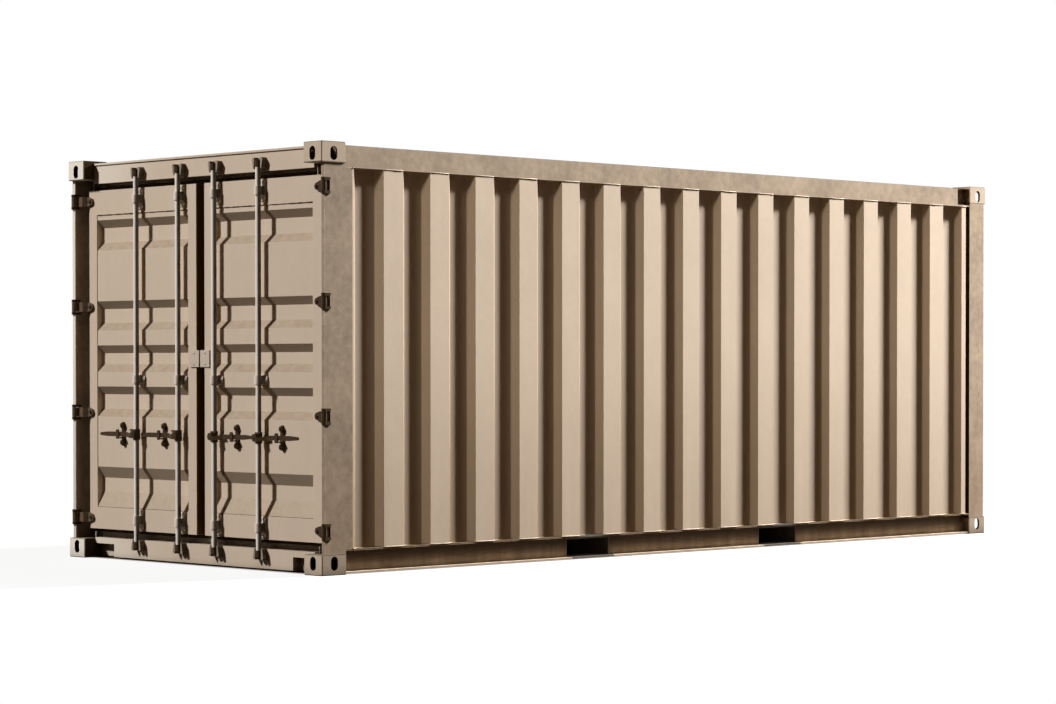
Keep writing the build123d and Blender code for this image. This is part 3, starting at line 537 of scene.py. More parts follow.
@dataclass(frozen=True)
class Rubber(Finish):
    """Dull rubber and sealant on the doors."""

    dust: Colour = (0.02, 0.012, 0.005)
    sheen: float = 0.08
    roughness: float = 0.72
    patch_scale: float = 35.0
    ripple: float = 0.0004

    def wire(self, graph: Graph) -> None:
        """Builds the nodes of rubber.

        Args:
            graph: the empty tree.
        """
        patch = graph.noise(graph.place(), self.patch_scale, 4.0)
        dusty = graph.step(patch, 0.5, 0.8) * 0.3
        graph.surface({
            "Base Color": graph.mix(dusty, self.base, self.dust),
            "Roughness": self.roughness + patch * 0.15,
            "Normal": graph.bump(patch, self.ripple),
            "Specular IOR Level": self.sheen,
            "Specular Tint": WARM,
        })


@dataclass(frozen=True)
class Plywood(Finish):
    """Worn floor plywood with grain along the container."""

    dark: Colour = (0.09, 0.045, 0.02)
    roughness: float = 0.55
    grain_stretch: Triple = (40.0, 1.6, 40.0)
    board_stretch: Triple = (0.86, 0.85, 0.0)
    scuff_stretch: Triple = (3.0, 9.0, 3.0)
    ripple: float = 0.0006

    def wire(self, graph: Graph) -> None:
        """Builds the nodes of plywood.

        Args:
            graph: the empty tree.
        """
        grain = graph.noise(graph.place(self.grain_stretch), 1.0, 5.0, 0.65)
        board = graph.noise(graph.place(self.board_stretch), 1.0, 0.0)
        scuff = graph.noise(graph.place(self.scuff_stretch), 1.0, 4.0)
        colour = graph.tint(self.base, 0.7 + grain * 0.4 + board * 0.35)
        marks = graph.step(scuff, 0.52, 0.78) * 0.45 + graph.step(grain, 0.58, 0.75) * 0.35
        graph.surface({
            "Base Color": graph.mix(marks, colour, self.dark),
            "Roughness": self.roughness + grain * 0.3,
            "Normal": graph.bump(grain, self.ripple),
        })


@dataclass(frozen=True)
class Underseal(Finish):
    """Dark coating of the underframe with dried mud."""

    mud: Colour = (0.20, 0.14, 0.085)
    roughness: float = 0.6
    patch_scale: float = 14.0
    fine_scale: float = 120.0
    ripple: float = 0.0015

    def wire(self, graph: Graph) -> None:
        """Builds the nodes of the underseal.

        Args:
            graph: the empty tree.
        """
        place = graph.place()
        patch = graph.noise(place, self.patch_scale, 5.0, 0.65)
        fine = graph.noise(place, self.fine_scale, 3.0)
        mud = graph.step(patch, 0.5, 0.75) * 0.6
        graph.surface({
            "Base Color": graph.mix(mud, graph.tint(self.base, 0.7 + fine * 0.6), self.mud),
            "Roughness": self.roughness + patch * 0.3,
            "Normal": graph.bump(patch + fine * 0.3, self.ripple),
        })


class Palette:
    """Every finish of the container, made once."""

    def __init__(self) -> None:
        """Makes the materials."""
        # Wall paint: darker towards the foot and on faces that turn towards +Y
        self.walls = Paint("wall_paint", CREAM, foot=0.22, road=0.7, edge_wear_and_light=0.08).material()
        self.sheets = Paint("sheet_paint", CREAM, foot=0.15, edge_wear_and_light=0.3).material()
        # Door paint: painted shade on the faces that turn downwards, and grime on ledges
        self.doors = Paint(
            "door_paint", CREAM, mottle=0.035, ledges=0.47, underside_shade=0.55, edge_wear_and_light=0.25,
        ).material()
        # End beams: painted shadow under the header's lip through the near black corner shade, and painted
        # light towards the left end
        self.ends = Paint(
            "end_paint", CREAM, grime=GAP_SHADE, left_light=0.5, left_light_band=(-0.3, -1.06),
            corner_grime=1.3, corner_reach=0.10,
        ).material()
        # Posts: painted light on the left post's door-facing faces, and painted shade in the deep jambs
        self.posts = Paint(
            "post_paint", (0.36, 0.28, 0.20), mottle=0.42, grain=0.16, foot=0.30, edge_wear_and_light=0.55, chips=0.35,
            left_light=0.9, jamb_shade=0.85,
        ).material()
        self.rails = Paint(
            "rail_paint", (0.385, 0.298, 0.215), mottle=0.36, grain=0.16, edge_wear_and_light=0.4, chips=0.5,
        ).material()
        # Painted shade: the dark base stands for the web's shade under the top flange; the strong light edges
        # and the light band at the foot are painted light on the flanges
        self.low_rails = Paint(
            "shaded_low_rail_paint", (0.070, 0.038, 0.012), worn=(0.60, 0.475, 0.35), mottle=0.34, grain=0.12,
            edge_wear_and_light=0.8, chips=0.7, splash=0.75,
        ).material()
        # Castings: painted shade in the holes and on the +X flanks, and painted light on the left castings'
        # door-facing faces
        self.castings = Paint(
            "casting_paint", (0.61, 0.49, 0.37), grime=(0.03, 0.016, 0.005), mottle=0.12, grain=0.08,
            edge_wear_and_light=0.3, chips=0.35, ripple=0.0016, roughness=0.62, corner_grime=1.6, corner_reach=0.16,
            ledges=0.6, flank_shade=0.3, left_light=0.95,
        ).material()
        self.gear = DarkSteel("dark_gear", (0.040, 0.022, 0.009)).material()
        self.bars = Galvanised(
            "dull_zinc", (0.93, 0.86, 0.78), roughness=0.45, smears=0.15, shade=0.85,
        ).material()
        self.straps = Galvanised(
            "strap_zinc", (0.84, 0.75, 0.65), roughness=0.5, smears=0.3, shade=0.85,
        ).material()
        self.keepers = Galvanised(
            "keeper_zinc", (0.34, 0.27, 0.20), smears=0.9, shade=0.8,
        ).material()
        # Painted light: a lighter copy of the dark gear, for the left hinge blades only
        self.hinges = DarkSteel("hinge_steel", (0.12, 0.082, 0.05), rubbed_and_lit=(0.26, 0.19, 0.13)).material()
        self.sealant = Rubber("panel_sealant", (0.15, 0.098, 0.058), dust=(0.30, 0.23, 0.16)).material()
        self.bolts = Galvanised("bolt_zinc", (0.55, 0.45, 0.35), metallic=0.3, smears=0.3).material()
        self.plates = Paint("plate_paint", (0.62, 0.52, 0.42), mottle=0.08, edge_wear_and_light=0.5).material()
        self.rubber = Rubber("seal_rubber", (0.024, 0.012, 0.003)).material()
        self.edge_rubber = Rubber("edge_rubber", (0.15, 0.078, 0.010), dust=(0.20, 0.11, 0.02)).material()
        self.wood = Plywood("floor_plywood", (0.34, 0.19, 0.095)).material()
        self.underseal = Underseal("underseal", (0.055, 0.036, 0.02)).material()


def dress(material: bpy.types.Material, nodes: Iterable[str]) -> None:
    """Gives CAD nodes a material.

    Args:
        material: the finish.
        nodes: names of the nodes.
    """
    for name in nodes:
        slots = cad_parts[name].data.materials
        if len(slots):
            for place in range(len(slots)):
                slots[place] = material
        else:
            slots.append(material)
        LOG.info("dressed %s with %s", name, material.name)


class Piece:
    """A mesh piece that is put together in the frame of the container."""

    def __init__(self, name: str) -> None:
        """Starts an empty mesh."""
        self.name = name
        self.mesh = bmesh.new()

    def loft(self, rings: Sequence[Sequence[Vector]], closed: bool = False, smooth: bool = False) -> None:
        """Joins rings of equal length with faces and caps the ends.

        Args:
            rings: rings of points, each in the same order.
            closed: joins the last ring to the first instead of capping.
            smooth: shades the sides as one surface.
        """
        rows = [[self.mesh.verts.new(point) for point in ring] for ring in rings]
        count = len(rows[0])
        pairs = list(zip(rows, rows[1:])) + ([(rows[-1], rows[0])] if closed else [])
        for low, high in pairs:
            for step in range(count):
                after = (step + 1) % count
                face = self.mesh.faces.new((low[step], low[after], high[after], high[step]))
                face.smooth = smooth
        if not closed:
            self.mesh.faces.new(list(reversed(rows[0])))
            self.mesh.faces.new(rows[-1])

    def turned(self, at: Vector, along: Vector, profile: Sequence[Pair], sides: int,
               smooth: bool = False) -> None:
        """Turns a profile of radii and heights about an axis.

        Args:
            at: foot of the axis.
            along: direction of the axis.
            profile: pairs of radius and height from the foot up.
            sides: number of sides.
            smooth: shades the sides as one surface.
        """
        turn = Matrix.Translation(at) @ along.to_track_quat("Z", "Y").to_matrix().to_4x4()
        angles = [math.tau * (step + 0.5) / sides for step in range(sides)]
        self.loft([
            [turn @ Vector((radius * math.cos(a), radius * math.sin(a), height)) for a in angles]
            for radius, height in profile
        ], smooth=smooth)

    def bolt(self, at: Vector, along: Vector, size: float) -> None:
        """Adds a hexagon bolt head on a round washer.

        Args:
            at: middle of the seat.
            along: direction away from the seat.
            size: radius of the head's corners.
        """
        thin = size * 0.22
        self.turned(at, along, [(size * 1.45, -SINK), (size * 1.45, thin * 0.7), (size * 1.3, thin)], 16)
        self.turned(at, along, [
            (size, thin * 0.9), (size, size * 0.75), (size * 0.86, size * 0.92), (size * 0.5, size * 0.95),
        ], 6)

    def dome(self, at: Vector, along: Vector, radius: float, height: float) -> None:
        """Adds a round rivet or screw head.

        Args:
            at: middle of the seat.
            along: direction away from the seat.
            radius: radius at the seat.
            height: height of the head.
        """
        self.turned(at, along, [
            (radius, -SINK), (radius, height * 0.3), (radius * 0.75, height * 0.8), (radius * 0.3, height),
        ], 10, smooth=True)

    def bead(self, path: Sequence[Vector], radius: float, seed: int) -> None:
        """Adds a weld bead along a path, with a little unevenness.

        Args:
            path: points along the seam.
            radius: mean radius of the bead.
            seed: start of the random row.
        """
        dice = random.Random(seed)
        angles = [math.tau * step / 6 for step in range(6)]
        rings = []
        for step, point in enumerate(path):
            before, after = path[max(step - 1, 0)], path[min(step + 1, len(path) - 1)]
            turn = (after - before).to_track_quat("Z", "Y").to_matrix()
            size = radius * dice.uniform(0.8, 1.15)
            ring = [Vector((size * math.cos(a), size * math.sin(a), 0.0)) for a in angles]
            rings.append([point + turn @ corner for corner in ring])
        self.loft(rings, smooth=True)

    def board(self, low: Vector, high: Vector, bevel: float) -> None:
        """Adds a flat board with bevelled top edges.

        Args:
            low: lowest corner.
            high: highest corner.
            bevel: width of the bevel.
        """
        def ring(inset: float, height: float) -> List[Vector]:
            """Gives the four corners at a height, moved in by an inset."""
            left, right, near, far = low.x + inset, high.x - inset, low.y + inset, high.y - inset
            corners = ((left, near), (right, near), (right, far), (left, far))
            return [Vector((x, y, height)) for x, y in corners]

        self.loft([ring(0.0, low.z), ring(0.0, high.z - bevel), ring(bevel, high.z)])

    def place(self, body: str, slot: Slot, material: bpy.types.Material) -> bpy.types.Object:
        """Closes the mesh and hands it to a CAD body.

        Args:
            body: name of the body that carries the piece.
            slot: not used.
            material: the finish.

        Returns:
            The new object.
        """
        bmesh.ops.recalc_face_normals(self.mesh, faces=self.mesh.faces)
        data = bpy.data.meshes.new(self.name)
        self.mesh.to_mesh(data)
        self.mesh.free()
        data.materials.append(material)
        made = bpy.data.objects.new(self.name, data)
        bpy.context.scene.collection.objects.link(made)
        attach(made, body)
        LOG.info("piece %s: %d faces on %s", self.name, len(data.polygons), body)
        return made


def along(points: Sequence[Vector], pitch: float) -> List[Vector]:
    """Cuts a path into short steps.

    Args:
        points: corners of the path.
        pitch: longest step.

    Returns:
        The points of the path, corners included.
    """
    path = [points[0]]
    for start, end in zip(points, points[1:]):
        count = max(1, math.ceil((end - start).length / pitch))
        path += [start.lerp(end, step / count) for step in range(1, count + 1)]
    return path


def cut_corners(wide: float, tall: float, bevel: float) -> List[Pair]:
    """Gives the outline of a rectangle with cut corners.

    Args:
        wide: full width.
        tall: full height.
        bevel: length of each cut along the sides.

    Returns:
        Eight points round the middle.
    """
    quarter = [(wide / 2, tall / 2 - bevel), (wide / 2 - bevel, tall / 2)]
    signs = ((1.0, 1.0, 1), (-1.0, 1.0, -1), (-1.0, -1.0, 1), (1.0, -1.0, -1))
    return [(sx * x, sy * y) for sx, sy, order in signs for x, y in quarter[::order]]


@dataclass
class Castings:
    """The eight corner castings."""

    nodes: Tuple[str, ...] = ("bottom_corner_castings", "top_corner_castings")

    def build(self, palette: Palette) -> None:
        """Adds nothing: the castings are whole in the CAD."""
        LOG.info("castings: no loose pieces")

    def dress(self, palette: Palette) -> None:
        """Gives the castings their finish."""
        dress(palette.castings, self.nodes)


@dataclass
class Frame:
    """Posts, rails, headers and sills."""

    bead: float = 0.004
    weld_depth: float = 0.02
    weld_gap: float = 0.01
    weld_pitch: float = 0.012

    def build(self, palette: Palette) -> None:
        """Adds the weld beads between the end beams and the posts.

        Args:
            palette: finishes of the container.
        """
        piece = Piece("frame_welds")
        for row, name in enumerate(("door_header", "door_sill")):
            low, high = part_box(name)
            for sign in (1.0, -1.0):
                x = sign * (abs(high.x) - self.bead * 0.5)
                y = low.y + self.weld_depth
                ends = [Vector((x, y, low.z + self.weld_gap)), Vector((x, y, high.z - self.weld_gap))]
                piece.bead(along(ends, self.weld_pitch), self.bead, row * 2 + int(sign > 0))
        piece.place("container", Slot.FRAME, palette.posts)

    def dress(self, palette: Palette) -> None:
        """Gives each part of the frame its finish.

        Args:
            palette: finishes of the container.
        """
        dress(palette.posts, ("rear_posts", "front_posts"))
        dress(palette.rails, ("top_rails", "front_header"))
        dress(palette.low_rails, ("bottom_rails", "front_sill"))
        dress(palette.ends, ("door_header", "door_sill"))


@dataclass
class Walls:
    """Corrugated side walls, front wall and roof."""

    pitch: float = 0.3555
    flat: float = 0.146
    slope: float = 0.040
    depth: float = 0.036
    first: float = 0.463
    edge: float = 0.008
    last_flat: float = 0.046
    post_reach: float = 0.230
    side_face: float = 1.213
    bead: float = 0.003
    bead_pitch: float = 0.05

    def folds(self) -> List[Pair]:
        """Gives the fold points of the right wall in plan.

        Returns:
            Pairs of Y and X along the outer face.
        """
        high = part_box("right_wall")[1]
        inner = self.side_face - self.depth
        door_end = CAD_LOW.y
        start = door_end + self.post_reach
        points = [
            (start, self.side_face), (start + self.edge, self.side_face),
            (start + self.edge + self.slope, inner),
        ]
        place = door_end + self.first
        while place < high.y:
            flat = self.flat if place + self.flat + self.slope < high.y else self.last_flat
            points += [
                (place - self.slope, inner), (place, self.side_face),
                (place + flat, self.side_face), (place + flat + self.slope, inner),
            ]
            place += self.pitch
        return points + [(high.y, inner)]

    def build(self, palette: Palette) -> None:
        """Adds the weld beads that follow the folds along the rails.

        Args:
            palette: finishes of the container.
        """
        low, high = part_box("right_wall")
        for side in Side:
            piece = Piece(f"{side.label}_wall_welds")
            for seed, z in enumerate((low.z, high.z)):
                path = [Vector((side.value * x, y, z)) for y, x in self.folds()]
                piece.bead(along(path, self.bead_pitch), self.bead, seed)
            piece.place("container", Slot.WALLS, palette.rails)

    def dress(self, palette: Palette) -> None:
        """Gives the sheets their finish."""
        dress(palette.walls, ("left_wall", "right_wall"))
        dress(palette.sheets, ("front_wall", "roof"))


@dataclass
class Doors:
    """The two door leaves with seals, hinge bolts, edge rubber and panel seams."""

    hinge_first: float = 0.246
    hinge_last: float = 2.190
    hinge_count: int = 4
    blade_front: float = -2.959
    tip_radius: float = 0.022
    bolt: float = 0.0095
    bolt_spacing: float = 0.040
    seams: Pair = (0.0035, 0.005)
    seam_inset: float = 0.004
    seam_pitch: float = 0.02
    edge_rubber: float = 0.002
    edge_inset: float = 0.002
    edge_bevel: float = 0.001
    seal: Tuple[Pair, ...] = (
        (0.000, 0.0050), (0.003, 0.0012), (0.010, 0.0002), (0.040, 0.0002), (0.043, 0.0040), (0.036, 0.0105),
        (0.031, 0.0118), (0.027, 0.0082), (0.017, 0.0072), (0.011, 0.0118), (0.006, 0.0112), (0.004, 0.0085),
    )

    def build(self, palette: Palette) -> None:
        """Adds seals with lips, hinge bolts, rubber on the meeting edges and panel seams.

        Args:
            palette: finishes of the container.
        """
        for side in Side:
            self.make_seal(side, palette)
            self.make_hinge_bolts(side, palette)
            self.make_edge_rubber(side, palette)
            self.make_seams(side, palette)

    def make_seal(self, side: Side, palette: Palette) -> None:
        """Makes the rubber seal round one leaf, with two lips.

        Args:
            side: the leaf.
            palette: finishes of the container.
        """
        node = f"{side.label}_door_gasket"
        low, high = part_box(node)
        piece = Piece(f"{side.label}_door_seal")
        corners = (
            (low.x, low.z, 1, 1), (high.x, low.z, -1, 1), (high.x, high.z, -1, -1), (low.x, high.z, 1, -1),
        )
        piece.loft([
            [Vector((x + sx * inward, low.y + depth, z + sz * inward)) for inward, depth in self.seal]
            for x, z, sx, sz in corners
        ], closed=True)
        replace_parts(piece.place(f"{side.label}_door", Slot.RUBBER, palette.rubber), node)

    def make_hinge_bolts(self, side: Side, palette: Palette) -> None:
        """Makes the two bolts on each hinge blade of one leaf.

        Args:
            side: the leaf.
            palette: finishes of the container.
        """
        piece = Piece(f"{side.label}_hinge_bolts")
        low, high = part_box(f"{side.label}_hinge_blades")
        tip = low.x if side is Side.RIGHT else high.x
        pitch = (self.hinge_last - self.hinge_first) / (self.hinge_count - 1)
        for step in range(self.hinge_count):
            for reach in (self.tip_radius, self.tip_radius + self.bolt_spacing):
                at = Vector((tip + side.value * reach, self.blade_front, self.hinge_first + pitch * step))
                piece.bolt(at, OUTWARD, self.bolt)
        piece.place(f"{side.label}_door", Slot.GEAR, palette.gear)

    def make_edge_rubber(self, side: Side, palette: Palette) -> None:
        """Makes the rubber strip on the meeting edge of one leaf.

        Args:
            side: the leaf.
            palette: finishes of the container.
        """
        low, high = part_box(f"{side.label}_door_frame")
        inner = min(abs(low.x), abs(high.x))
        left, right = sorted((side.value * inner, side.value * (inner - self.edge_rubber)))
        piece = Piece(f"{side.label}_edge_rubber")
        piece.board(
            Vector((left, low.y + self.edge_inset, low.z + self.edge_inset)),
            Vector((right, high.y, high.z - self.edge_inset)), self.edge_bevel,
        )
        piece.place(f"{side.label}_door", Slot.RUBBER, palette.edge_rubber)

    def make_seams(self, side: Side, palette: Palette) -> None:
        """Makes the beads of sealant along the foot and the top of one panel.

        Args:
            side: the leaf.
            palette: finishes of the container.
        """
        low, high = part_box(f"{side.label}_door_panel")
        piece = Piece(f"{side.label}_panel_seams")
        for seed, (z, radius) in enumerate(zip((low.z, high.z), self.seams)):
            ends = [Vector((low.x + self.seam_inset, low.y, z)), Vector((high.x - self.seam_inset, low.y, z))]
            piece.bead(along(ends, self.seam_pitch), radius, seed)
        piece.place(f"{side.label}_door", Slot.DOORS, palette.sealant)

    def dress(self, palette: Palette) -> None:
        """Gives the leaves and hinges their finish.

        Args:
            palette: finishes of the container.
        """
        for side in Side:
            dress(palette.doors, (f"{side.label}_door_frame", f"{side.label}_door_panel"))
            dress(palette.rubber, (f"{side.label}_door_gasket",))
        # Painted light: the left blades take the lighter copy of the dark gear, the right ones stay dark
        dress(palette.hinges, ("left_hinge_blades",))
        dress(palette.gear, ("right_hinge_blades", "hinge_lugs"))


@dataclass
class LockingGear:
    """Bars, cams, keepers, brackets, handles and retainers."""

    bracket_heights: Triple = (0.247, 1.0975, 2.187)
    bracket_seats: Triple = (-2.945, -2.941, -2.945)
    bracket_feet: Tuple[Pair, ...] = ((0.064, 0.124), (0.092, 0.056), (0.064, 0.124))
    bracket_bolts: Tuple[Pair, ...] = ((0.019, 0.047), (0.034, 0.0), (0.019, 0.047))
    bracket_front: float = -2.951
    foot_bevel: float = 0.012
    foot_edge: float = 0.0015
    bar_depth: float = -2.979
    strap_radii: Pair = (0.017, 0.023)
    strap_height: float = 0.050
    strap_steps: int = 12
    handle_height: float = 0.7649
    retainer_place: float = 0.177
    boss_spacing: float = 0.104
    boss_front: float = -2.961
    plate_height: float = 1.222
    plate_front: float = -2.953
    plate_bolt: Pair = (0.052, 0.033)
    plate_dome: Pair = (0.007, 0.004)
    bolt: float = 0.0085

    def build(self, palette: Palette) -> None:
        """Adds the bolts of brackets, retainers and centre plates, and the straps of the bars.

        Args:
            palette: finishes of the container.
        """
        for side in Side:
            self.make_bracket_bolts(side, palette)
            self.make_retainer_bolts(side, palette)
            self.make_straps(side, palette)
            self.make_plate_bolts(side, palette)

    def make_bracket_bolts(self, side: Side, palette: Palette) -> None:
        """Makes the bolts of the brackets of one leaf.

        Args:
            side: the leaf.
            palette: finishes of the container.
        """
        piece = Piece(f"{side.label}_bracket_bolts")
        for bar in Bar:
            for height, (wide, tall) in zip(self.bracket_heights, self.bracket_bolts):
                for across in (wide, -wide):
                    x = side.value * (bar.value + across)
                    # A set, so that a bolt on the middle line is made once
                    for up in {tall, -tall}:
                        piece.bolt(Vector((x, self.bracket_front, height + up)), OUTWARD, self.bolt)
        piece.place(f"{side.label}_door", Slot.GEAR, palette.bolts)

    def make_retainer_bolts(self, side: Side, palette: Palette) -> None:
        """Makes the two bolts of each handle retainer of one leaf.

        Args:
            side: the leaf.
            palette: finishes of the container.
        """
        piece = Piece(f"{side.label}_retainer_bolts")
        for bar in Bar:
            x = side.value * (bar.value + self.retainer_place)
            for up in (0.5, -0.5):
                at = Vector((x, self.boss_front, self.handle_height + up * self.boss_spacing))
                piece.bolt(at, OUTWARD, self.bolt)
        piece.place(f"{side.label}_door", Slot.GEAR, palette.gear)

    def make_straps(self, side: Side, palette: Palette) -> None:
        """Makes the brackets of the bars as round straps on bevelled feet.

        Args:
            side: the leaf.
            palette: finishes of the container.
        """
        piece = Piece(f"{side.label}_bar_straps")
        inner, outer = self.strap_radii
        section = self.half_round(outer) + [(-x, y) for x, y in self.half_round(inner)]
        front = self.bracket_front
        for bar in Bar:
            x = side.value * bar.value
            for height, seat, foot in zip(self.bracket_heights, self.bracket_seats, self.bracket_feet):
                piece.loft([
                    [Vector((x + across, self.bar_depth + deep, height + up)) for across, deep in section]
                    for up in (-self.strap_height / 2, self.strap_height / 2)
                ])
                piece.loft([
                    [
                        Vector((x + across, y, height + up))
                        for across, up in cut_corners(foot[0] - trim, foot[1] - trim, self.foot_bevel)
                    ]
                    for y, trim in ((seat, 0.0), (front + self.foot_edge, 0.0), (front, self.foot_edge * 2))
                ])
        made = piece.place(f"{side.label}_door", Slot.GEAR, palette.straps)
        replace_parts(made, f"{side.label}_bar_brackets")

    def half_round(self, radius: float) -> List[Pair]:
        """Gives one side of a strap in plan: a leg, half a circle round the bar and a leg.

        Args:
            radius: radius of the half circle.

        Returns:
            Points across and along the depth, from the right leg to the left one.
        """
        leg = self.bracket_front - self.bar_depth + SINK
        arc = [math.pi * step / self.strap_steps for step in range(self.strap_steps + 1)]
        curve = [(radius * math.cos(a), -radius * math.sin(a)) for a in arc]
        return [(radius, leg), *curve, (-radius, leg)]

    def make_plate_bolts(self, side: Side, palette: Palette) -> None:
        """Makes the two round heads on the centre plate of one leaf.

        Args:
            side: the leaf.
            palette: finishes of the container.
        """
        piece = Piece(f"{side.label}_plate_bolts")
        across, rise = self.plate_bolt
        for up in (rise, -rise):
            at = Vector((side.value * across, self.plate_front, self.plate_height + up))
            piece.dome(at, OUTWARD, *self.plate_dome)
        piece.place(f"{side.label}_door", Slot.GEAR, palette.bolts)

    def dress(self, palette: Palette) -> None:
        """Gives the gear its finish.

        Args:
            palette: finishes of the container.
        """
        dress(palette.keepers, ("header_keepers", "sill_keepers"))
        for side in Side:
            dress(palette.straps, (f"{side.label}_bar_brackets",))
            dress(palette.gear, (f"{side.label}_handle_retainers",))
            dress(palette.plates, (f"{side.label}_centre_plate",))
            for bar in Bar:
                stem = f"{side.label}_{bar.name.lower()}"
                dress(palette.bars, (f"{stem}_bar",))
                dress(palette.gear, (f"{stem}_bar_fittings", f"{stem}_handle"))


@dataclass
class Underframe:
    """Cross members and forklift pockets."""

    nodes: Tuple[str, ...] = ("cross_members", "forklift_pockets")

    def build(self, palette: Palette) -> None:
        """Adds nothing: the underframe is whole in the CAD."""
        LOG.info("underframe: no loose pieces")

    def dress(self, palette: Palette) -> None:
        """Gives the underframe its finish."""
        dress(palette.underseal, self.nodes)


@dataclass
class Floor:
    """Plywood sheets screwed to the cross members."""

    rows: int = 5
    columns: int = 2
    gap: float = 0.003
    bevel: float = 0.0015
    screw_radius: float = 0.005
    screw_height: float = 0.001
    screws: Tuple[int, int] = (4, 4)

    def build(self, palette: Palette) -> None:
        """Lays the sheets and their screws in place of the plain boards.

        Args:
            palette: finishes of the container.
        """
        low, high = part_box("floor_boards")
        boards, screws = Piece("floor_sheets"), Piece("floor_screws")
        wide, long = (high.x - low.x) / self.columns, (high.y - low.y) / self.rows
        for column in range(self.columns):
            for row in range(self.rows):
                start = Vector((low.x + wide * column, low.y + long * row, low.z))
                end = Vector((start.x + wide - self.gap, start.y + long - self.gap, high.z))
                boards.board(start, end, self.bevel)
                for across in range(self.screws[0]):
                    for forward in range(self.screws[1]):
                        at = Vector((
                            start.x + wide * (across + 0.5) / self.screws[0],
                            start.y + long * (forward + 0.5) / self.screws[1], high.z,
                        ))
                        screws.dome(at, UPWARD, self.screw_radius, self.screw_height)
        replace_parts(boards.place("container", Slot.WOOD, palette.wood), "floor_boards")
        screws.place("container", Slot.BARS, palette.bolts)

    def dress(self, palette: Palette) -> None:
        """Gives the plain boards below the sheets the same finish."""
        dress(palette.wood, ("floor_boards",))


FILL: Colour = (1.0, 0.90, 0.77)
HANDLES = ("left_inner_handle", "left_outer_handle", "right_inner_handle", "right_outer_handle")
CORNER_NODES = ("front_posts", "top_corner_castings", "bottom_corner_castings")
FRONT_NODES = ("front_wall", "front_header", "front_sill")
SIDE_NODES = (
    "left_wall", "right_wall", "roof", "top_rails", "bottom_rails", "cross_members", "forklift_pockets",
)


@dataclass(frozen=True)
class Lamp:
    """A square soft lamp, by the brightness that it gives at its target."""

    name: str
    at: Triple
    target: Triple
    size: float
    level: float
    reach: Reach = Reach.ALL
    nodes: Tuple[str, ...] = ()
    colour: Colour = WHITE
    no_shadow: Tuple[str, ...] = ()

    def build(self) -> None:
        """Hangs the lamp, where a level of 1 renders a white surface that faces it as white."""
        throw = Vector(self.target) - Vector(self.at)
        data = bpy.data.lights.new(self.name, "AREA")
        data.shape, data.size = "SQUARE", self.size
        data.energy = math.pi ** 2 * throw.length_squared * self.level
        data.color = self.colour
        lamp = bpy.data.objects.new(self.name, data)
        lamp.location = self.at
        lamp.rotation_euler = throw.to_track_quat("-Z", "Y").to_euler()
        bpy.context.scene.collection.objects.link(lamp)
        if self.reach is not Reach.ALL:
            lamp.light_linking.receiver_collection = self.linked(self.nodes, self.reach)
        if self.no_shadow:
            lamp.light_linking.blocker_collection = self.linked(self.no_shadow, Reach.EXCEPT)
        LOG.info("lamp %s: %.0f W", self.name, data.energy)

    def linked(self, nodes: Tuple[str, ...], reach: Reach) -> bpy.types.Collection:
        """Gathers CAD nodes for light linking.

        Args:
            nodes: names of the nodes.
            reach: whether they are taken in or left out.

        Returns:
            The collection of the nodes.
        """
        named = bpy.data.collections.new(f"{self.name}_{reach.name.lower()}_nodes")
        for name in nodes:
            named.objects.link(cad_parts[name])
        for entry in named.collection_objects:
            entry.light_linking.link_state = reach.value
        return named


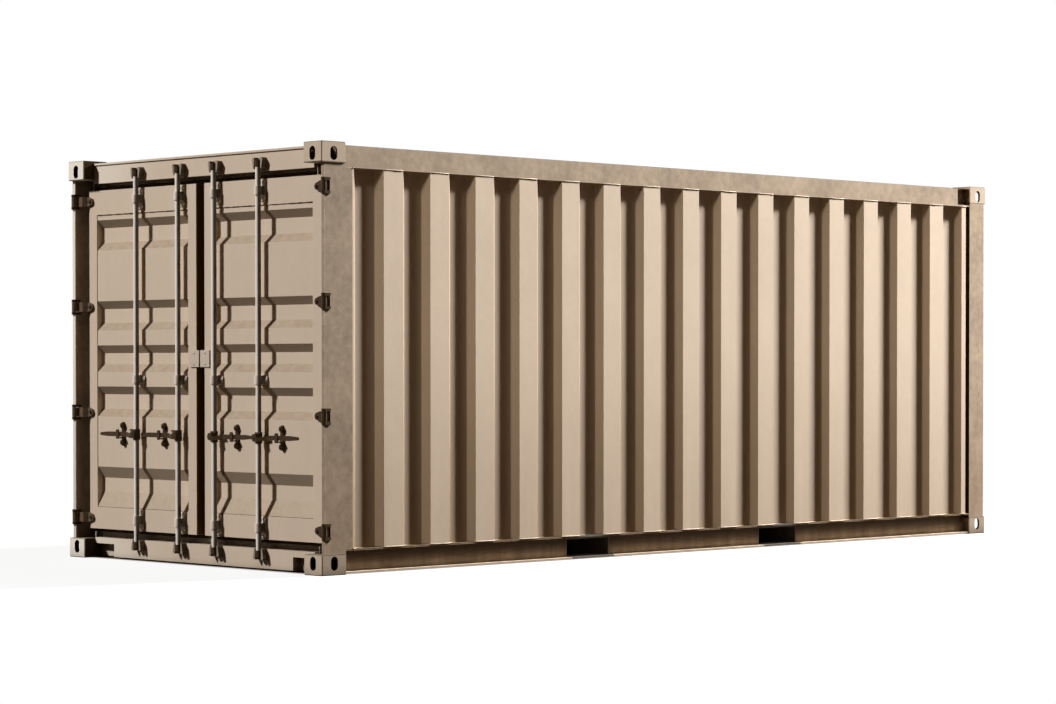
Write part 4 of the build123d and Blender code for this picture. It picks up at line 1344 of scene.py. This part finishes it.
@dataclass
class Studio:
    """Camera, lamps, pale floor and white surround."""

    camera_at: Triple = (13.796, -13.460, 1.168)
    turn: Pair = (44.87, 1.03)
    lens: float = 99.2
    sensor: float = 36.0
    shift: Pair = (-0.0682, 0.0644)
    ambient: Colour = (0.024, 0.0115, 0.002)
    floor_colour: Colour = (0.80, 0.785, 0.765)
    floor_bounce: Colour = (0.020, 0.010, 0.003)
    floor_shadow: Colour = (0.10, 0.07, 0.045)
    floor_glow: float = 0.85
    floor_reach: float = 14.0
    floor_sides: int = 64
    floor_fade: Band = (3.6, 6.8)
    shadow_edge: float = 0.1
    lamps: Tuple[Lamp, ...] = (
        Lamp("door_key", (-17.7, -29.0, 25.8), (0.0, -3.0, 1.2), size=2.9, level=1.06, no_shadow=HANDLES),
        Lamp(
            "wall_key", (5.07, 15.57, 15.69), (1.2, 0.0, 1.2), size=2.25, level=5.3,
            reach=Reach.EXCEPT, nodes=("roof", "door_header", *FRONT_NODES, *CORNER_NODES),
        ),
        Lamp(
            "slope_fill", (6.3, -23.9, 18.5), (1.2, 0.0, 1.2), size=3.0, level=0.345,
            reach=Reach.ONLY, nodes=SIDE_NODES, colour=FILL,
        ),
        Lamp(
            "corner_key", (12.0, 10.0, 9.0), (1.2, 3.0, 1.2), size=2.0, level=1.98,
            reach=Reach.ONLY, nodes=CORNER_NODES,
        ),
        Lamp(
            "front_key", (-9.0, 21.0, 14.0), (0.0, 3.0, 1.2), size=3.0, level=1.05,
            reach=Reach.ONLY, nodes=FRONT_NODES,
        ),
    )

    def build(self) -> None:
        """Sets up the studio."""
        scene = bpy.context.scene
        scene.view_settings.view_transform = "Standard"
        data = bpy.data.cameras.new("camera")
        data.lens, data.sensor_width = self.lens, self.sensor
        data.shift_x, data.shift_y = self.shift
        camera = bpy.data.objects.new("camera", data)
        camera.location = self.camera_at
        camera.rotation_euler = (math.radians(90.0 - self.turn[1]), 0.0, math.radians(self.turn[0]))
        scene.collection.objects.link(camera)
        scene.camera = camera
        for lamp in self.lamps:
            lamp.build()
        self.surround()
        self.ground()

    def surround(self) -> None:
        """Makes the world white to the camera and in reflections, and dim and warm to the object."""
        world = bpy.data.worlds.new("surround")
        bpy.context.scene.world = world
        graph = Graph(world)
        seen = graph.background_ray()
        colour = graph.mix(seen, self.ambient, WHITE)
        light = graph.node("ShaderNodeBackground", inputs={"Color": colour, "Strength": 1.0})
        graph.node("ShaderNodeOutputWorld", inputs={"Surface": light})

    def ground(self) -> None:
        """Lays a pale floor that fades into the white surround."""
        mesh = bmesh.new()
        bmesh.ops.create_circle(mesh, cap_ends=True, segments=self.floor_sides, radius=self.floor_reach)
        data = bpy.data.meshes.new("ground")
        mesh.to_mesh(data)
        mesh.free()
        data.materials.append(self.floor_finish())
        ground = bpy.data.objects.new("ground", data)
        ground.location.z = CAD_LOW.z
        bpy.context.scene.collection.objects.link(ground)
        LOG.info("ground laid at %.3f m", CAD_LOW.z)

    def floor_finish(self) -> bpy.types.Material:
        """Makes the floor: pale to the camera, with a painted shadow below the container, and clear far out.

        Returns:
            The new material.
        """
        material = bpy.data.materials.new("ground")
        graph = Graph(material)
        place = graph.place()
        seen = graph.background_ray()
        pale = graph.tint(self.floor_colour, 0.98 + graph.noise(place, 2.0) * 0.04)
        across, ahead = (graph.math("ABSOLUTE", graph.axis(place, name), 0.0) for name in "XY")
        # Painted shadow: the floor below the container goes dark brown and loses its glow
        below = graph.step(across, CAD_HIGH.x, CAD_HIGH.x - self.shadow_edge)
        below = below * graph.step(ahead, CAD_HIGH.y, CAD_HIGH.y - self.shadow_edge)
        pale = graph.mix(below, pale, self.floor_shadow)
        matt = graph.node("ShaderNodeBsdfDiffuse", inputs={"Color": graph.mix(seen, self.floor_bounce, pale)})
        glow = graph.node("ShaderNodeEmission", inputs={"Color": WHITE})
        shine = seen * (1.0 - below) * self.floor_glow
        floor = graph.node("ShaderNodeMixShader", inputs={0: shine, 1: matt, 2: glow})
        far = graph.node("ShaderNodeVectorMath", {"operation": "LENGTH"}, {0: place}, "Value")
        clear = graph.node("ShaderNodeBsdfTransparent")
        fade = graph.step(far, *self.floor_fade)
        mixed = graph.node("ShaderNodeMixShader", inputs={0: fade, 1: floor, 2: clear})
        graph.node("ShaderNodeOutputMaterial", inputs={"Surface": mixed})
        return material


def main() -> None:
    """Builds and dresses each sub-assembly, then sets up the studio."""
    logging.basicConfig(level=logging.INFO, format="%(message)s")
    palette = Palette()
    for part in (Castings(), Frame(), Walls(), Doors(), LockingGear(), Underframe(), Floor()):
        part.build(palette)
        part.dress(palette)
    Studio().build()


if __name__ == "__main__":
    main()
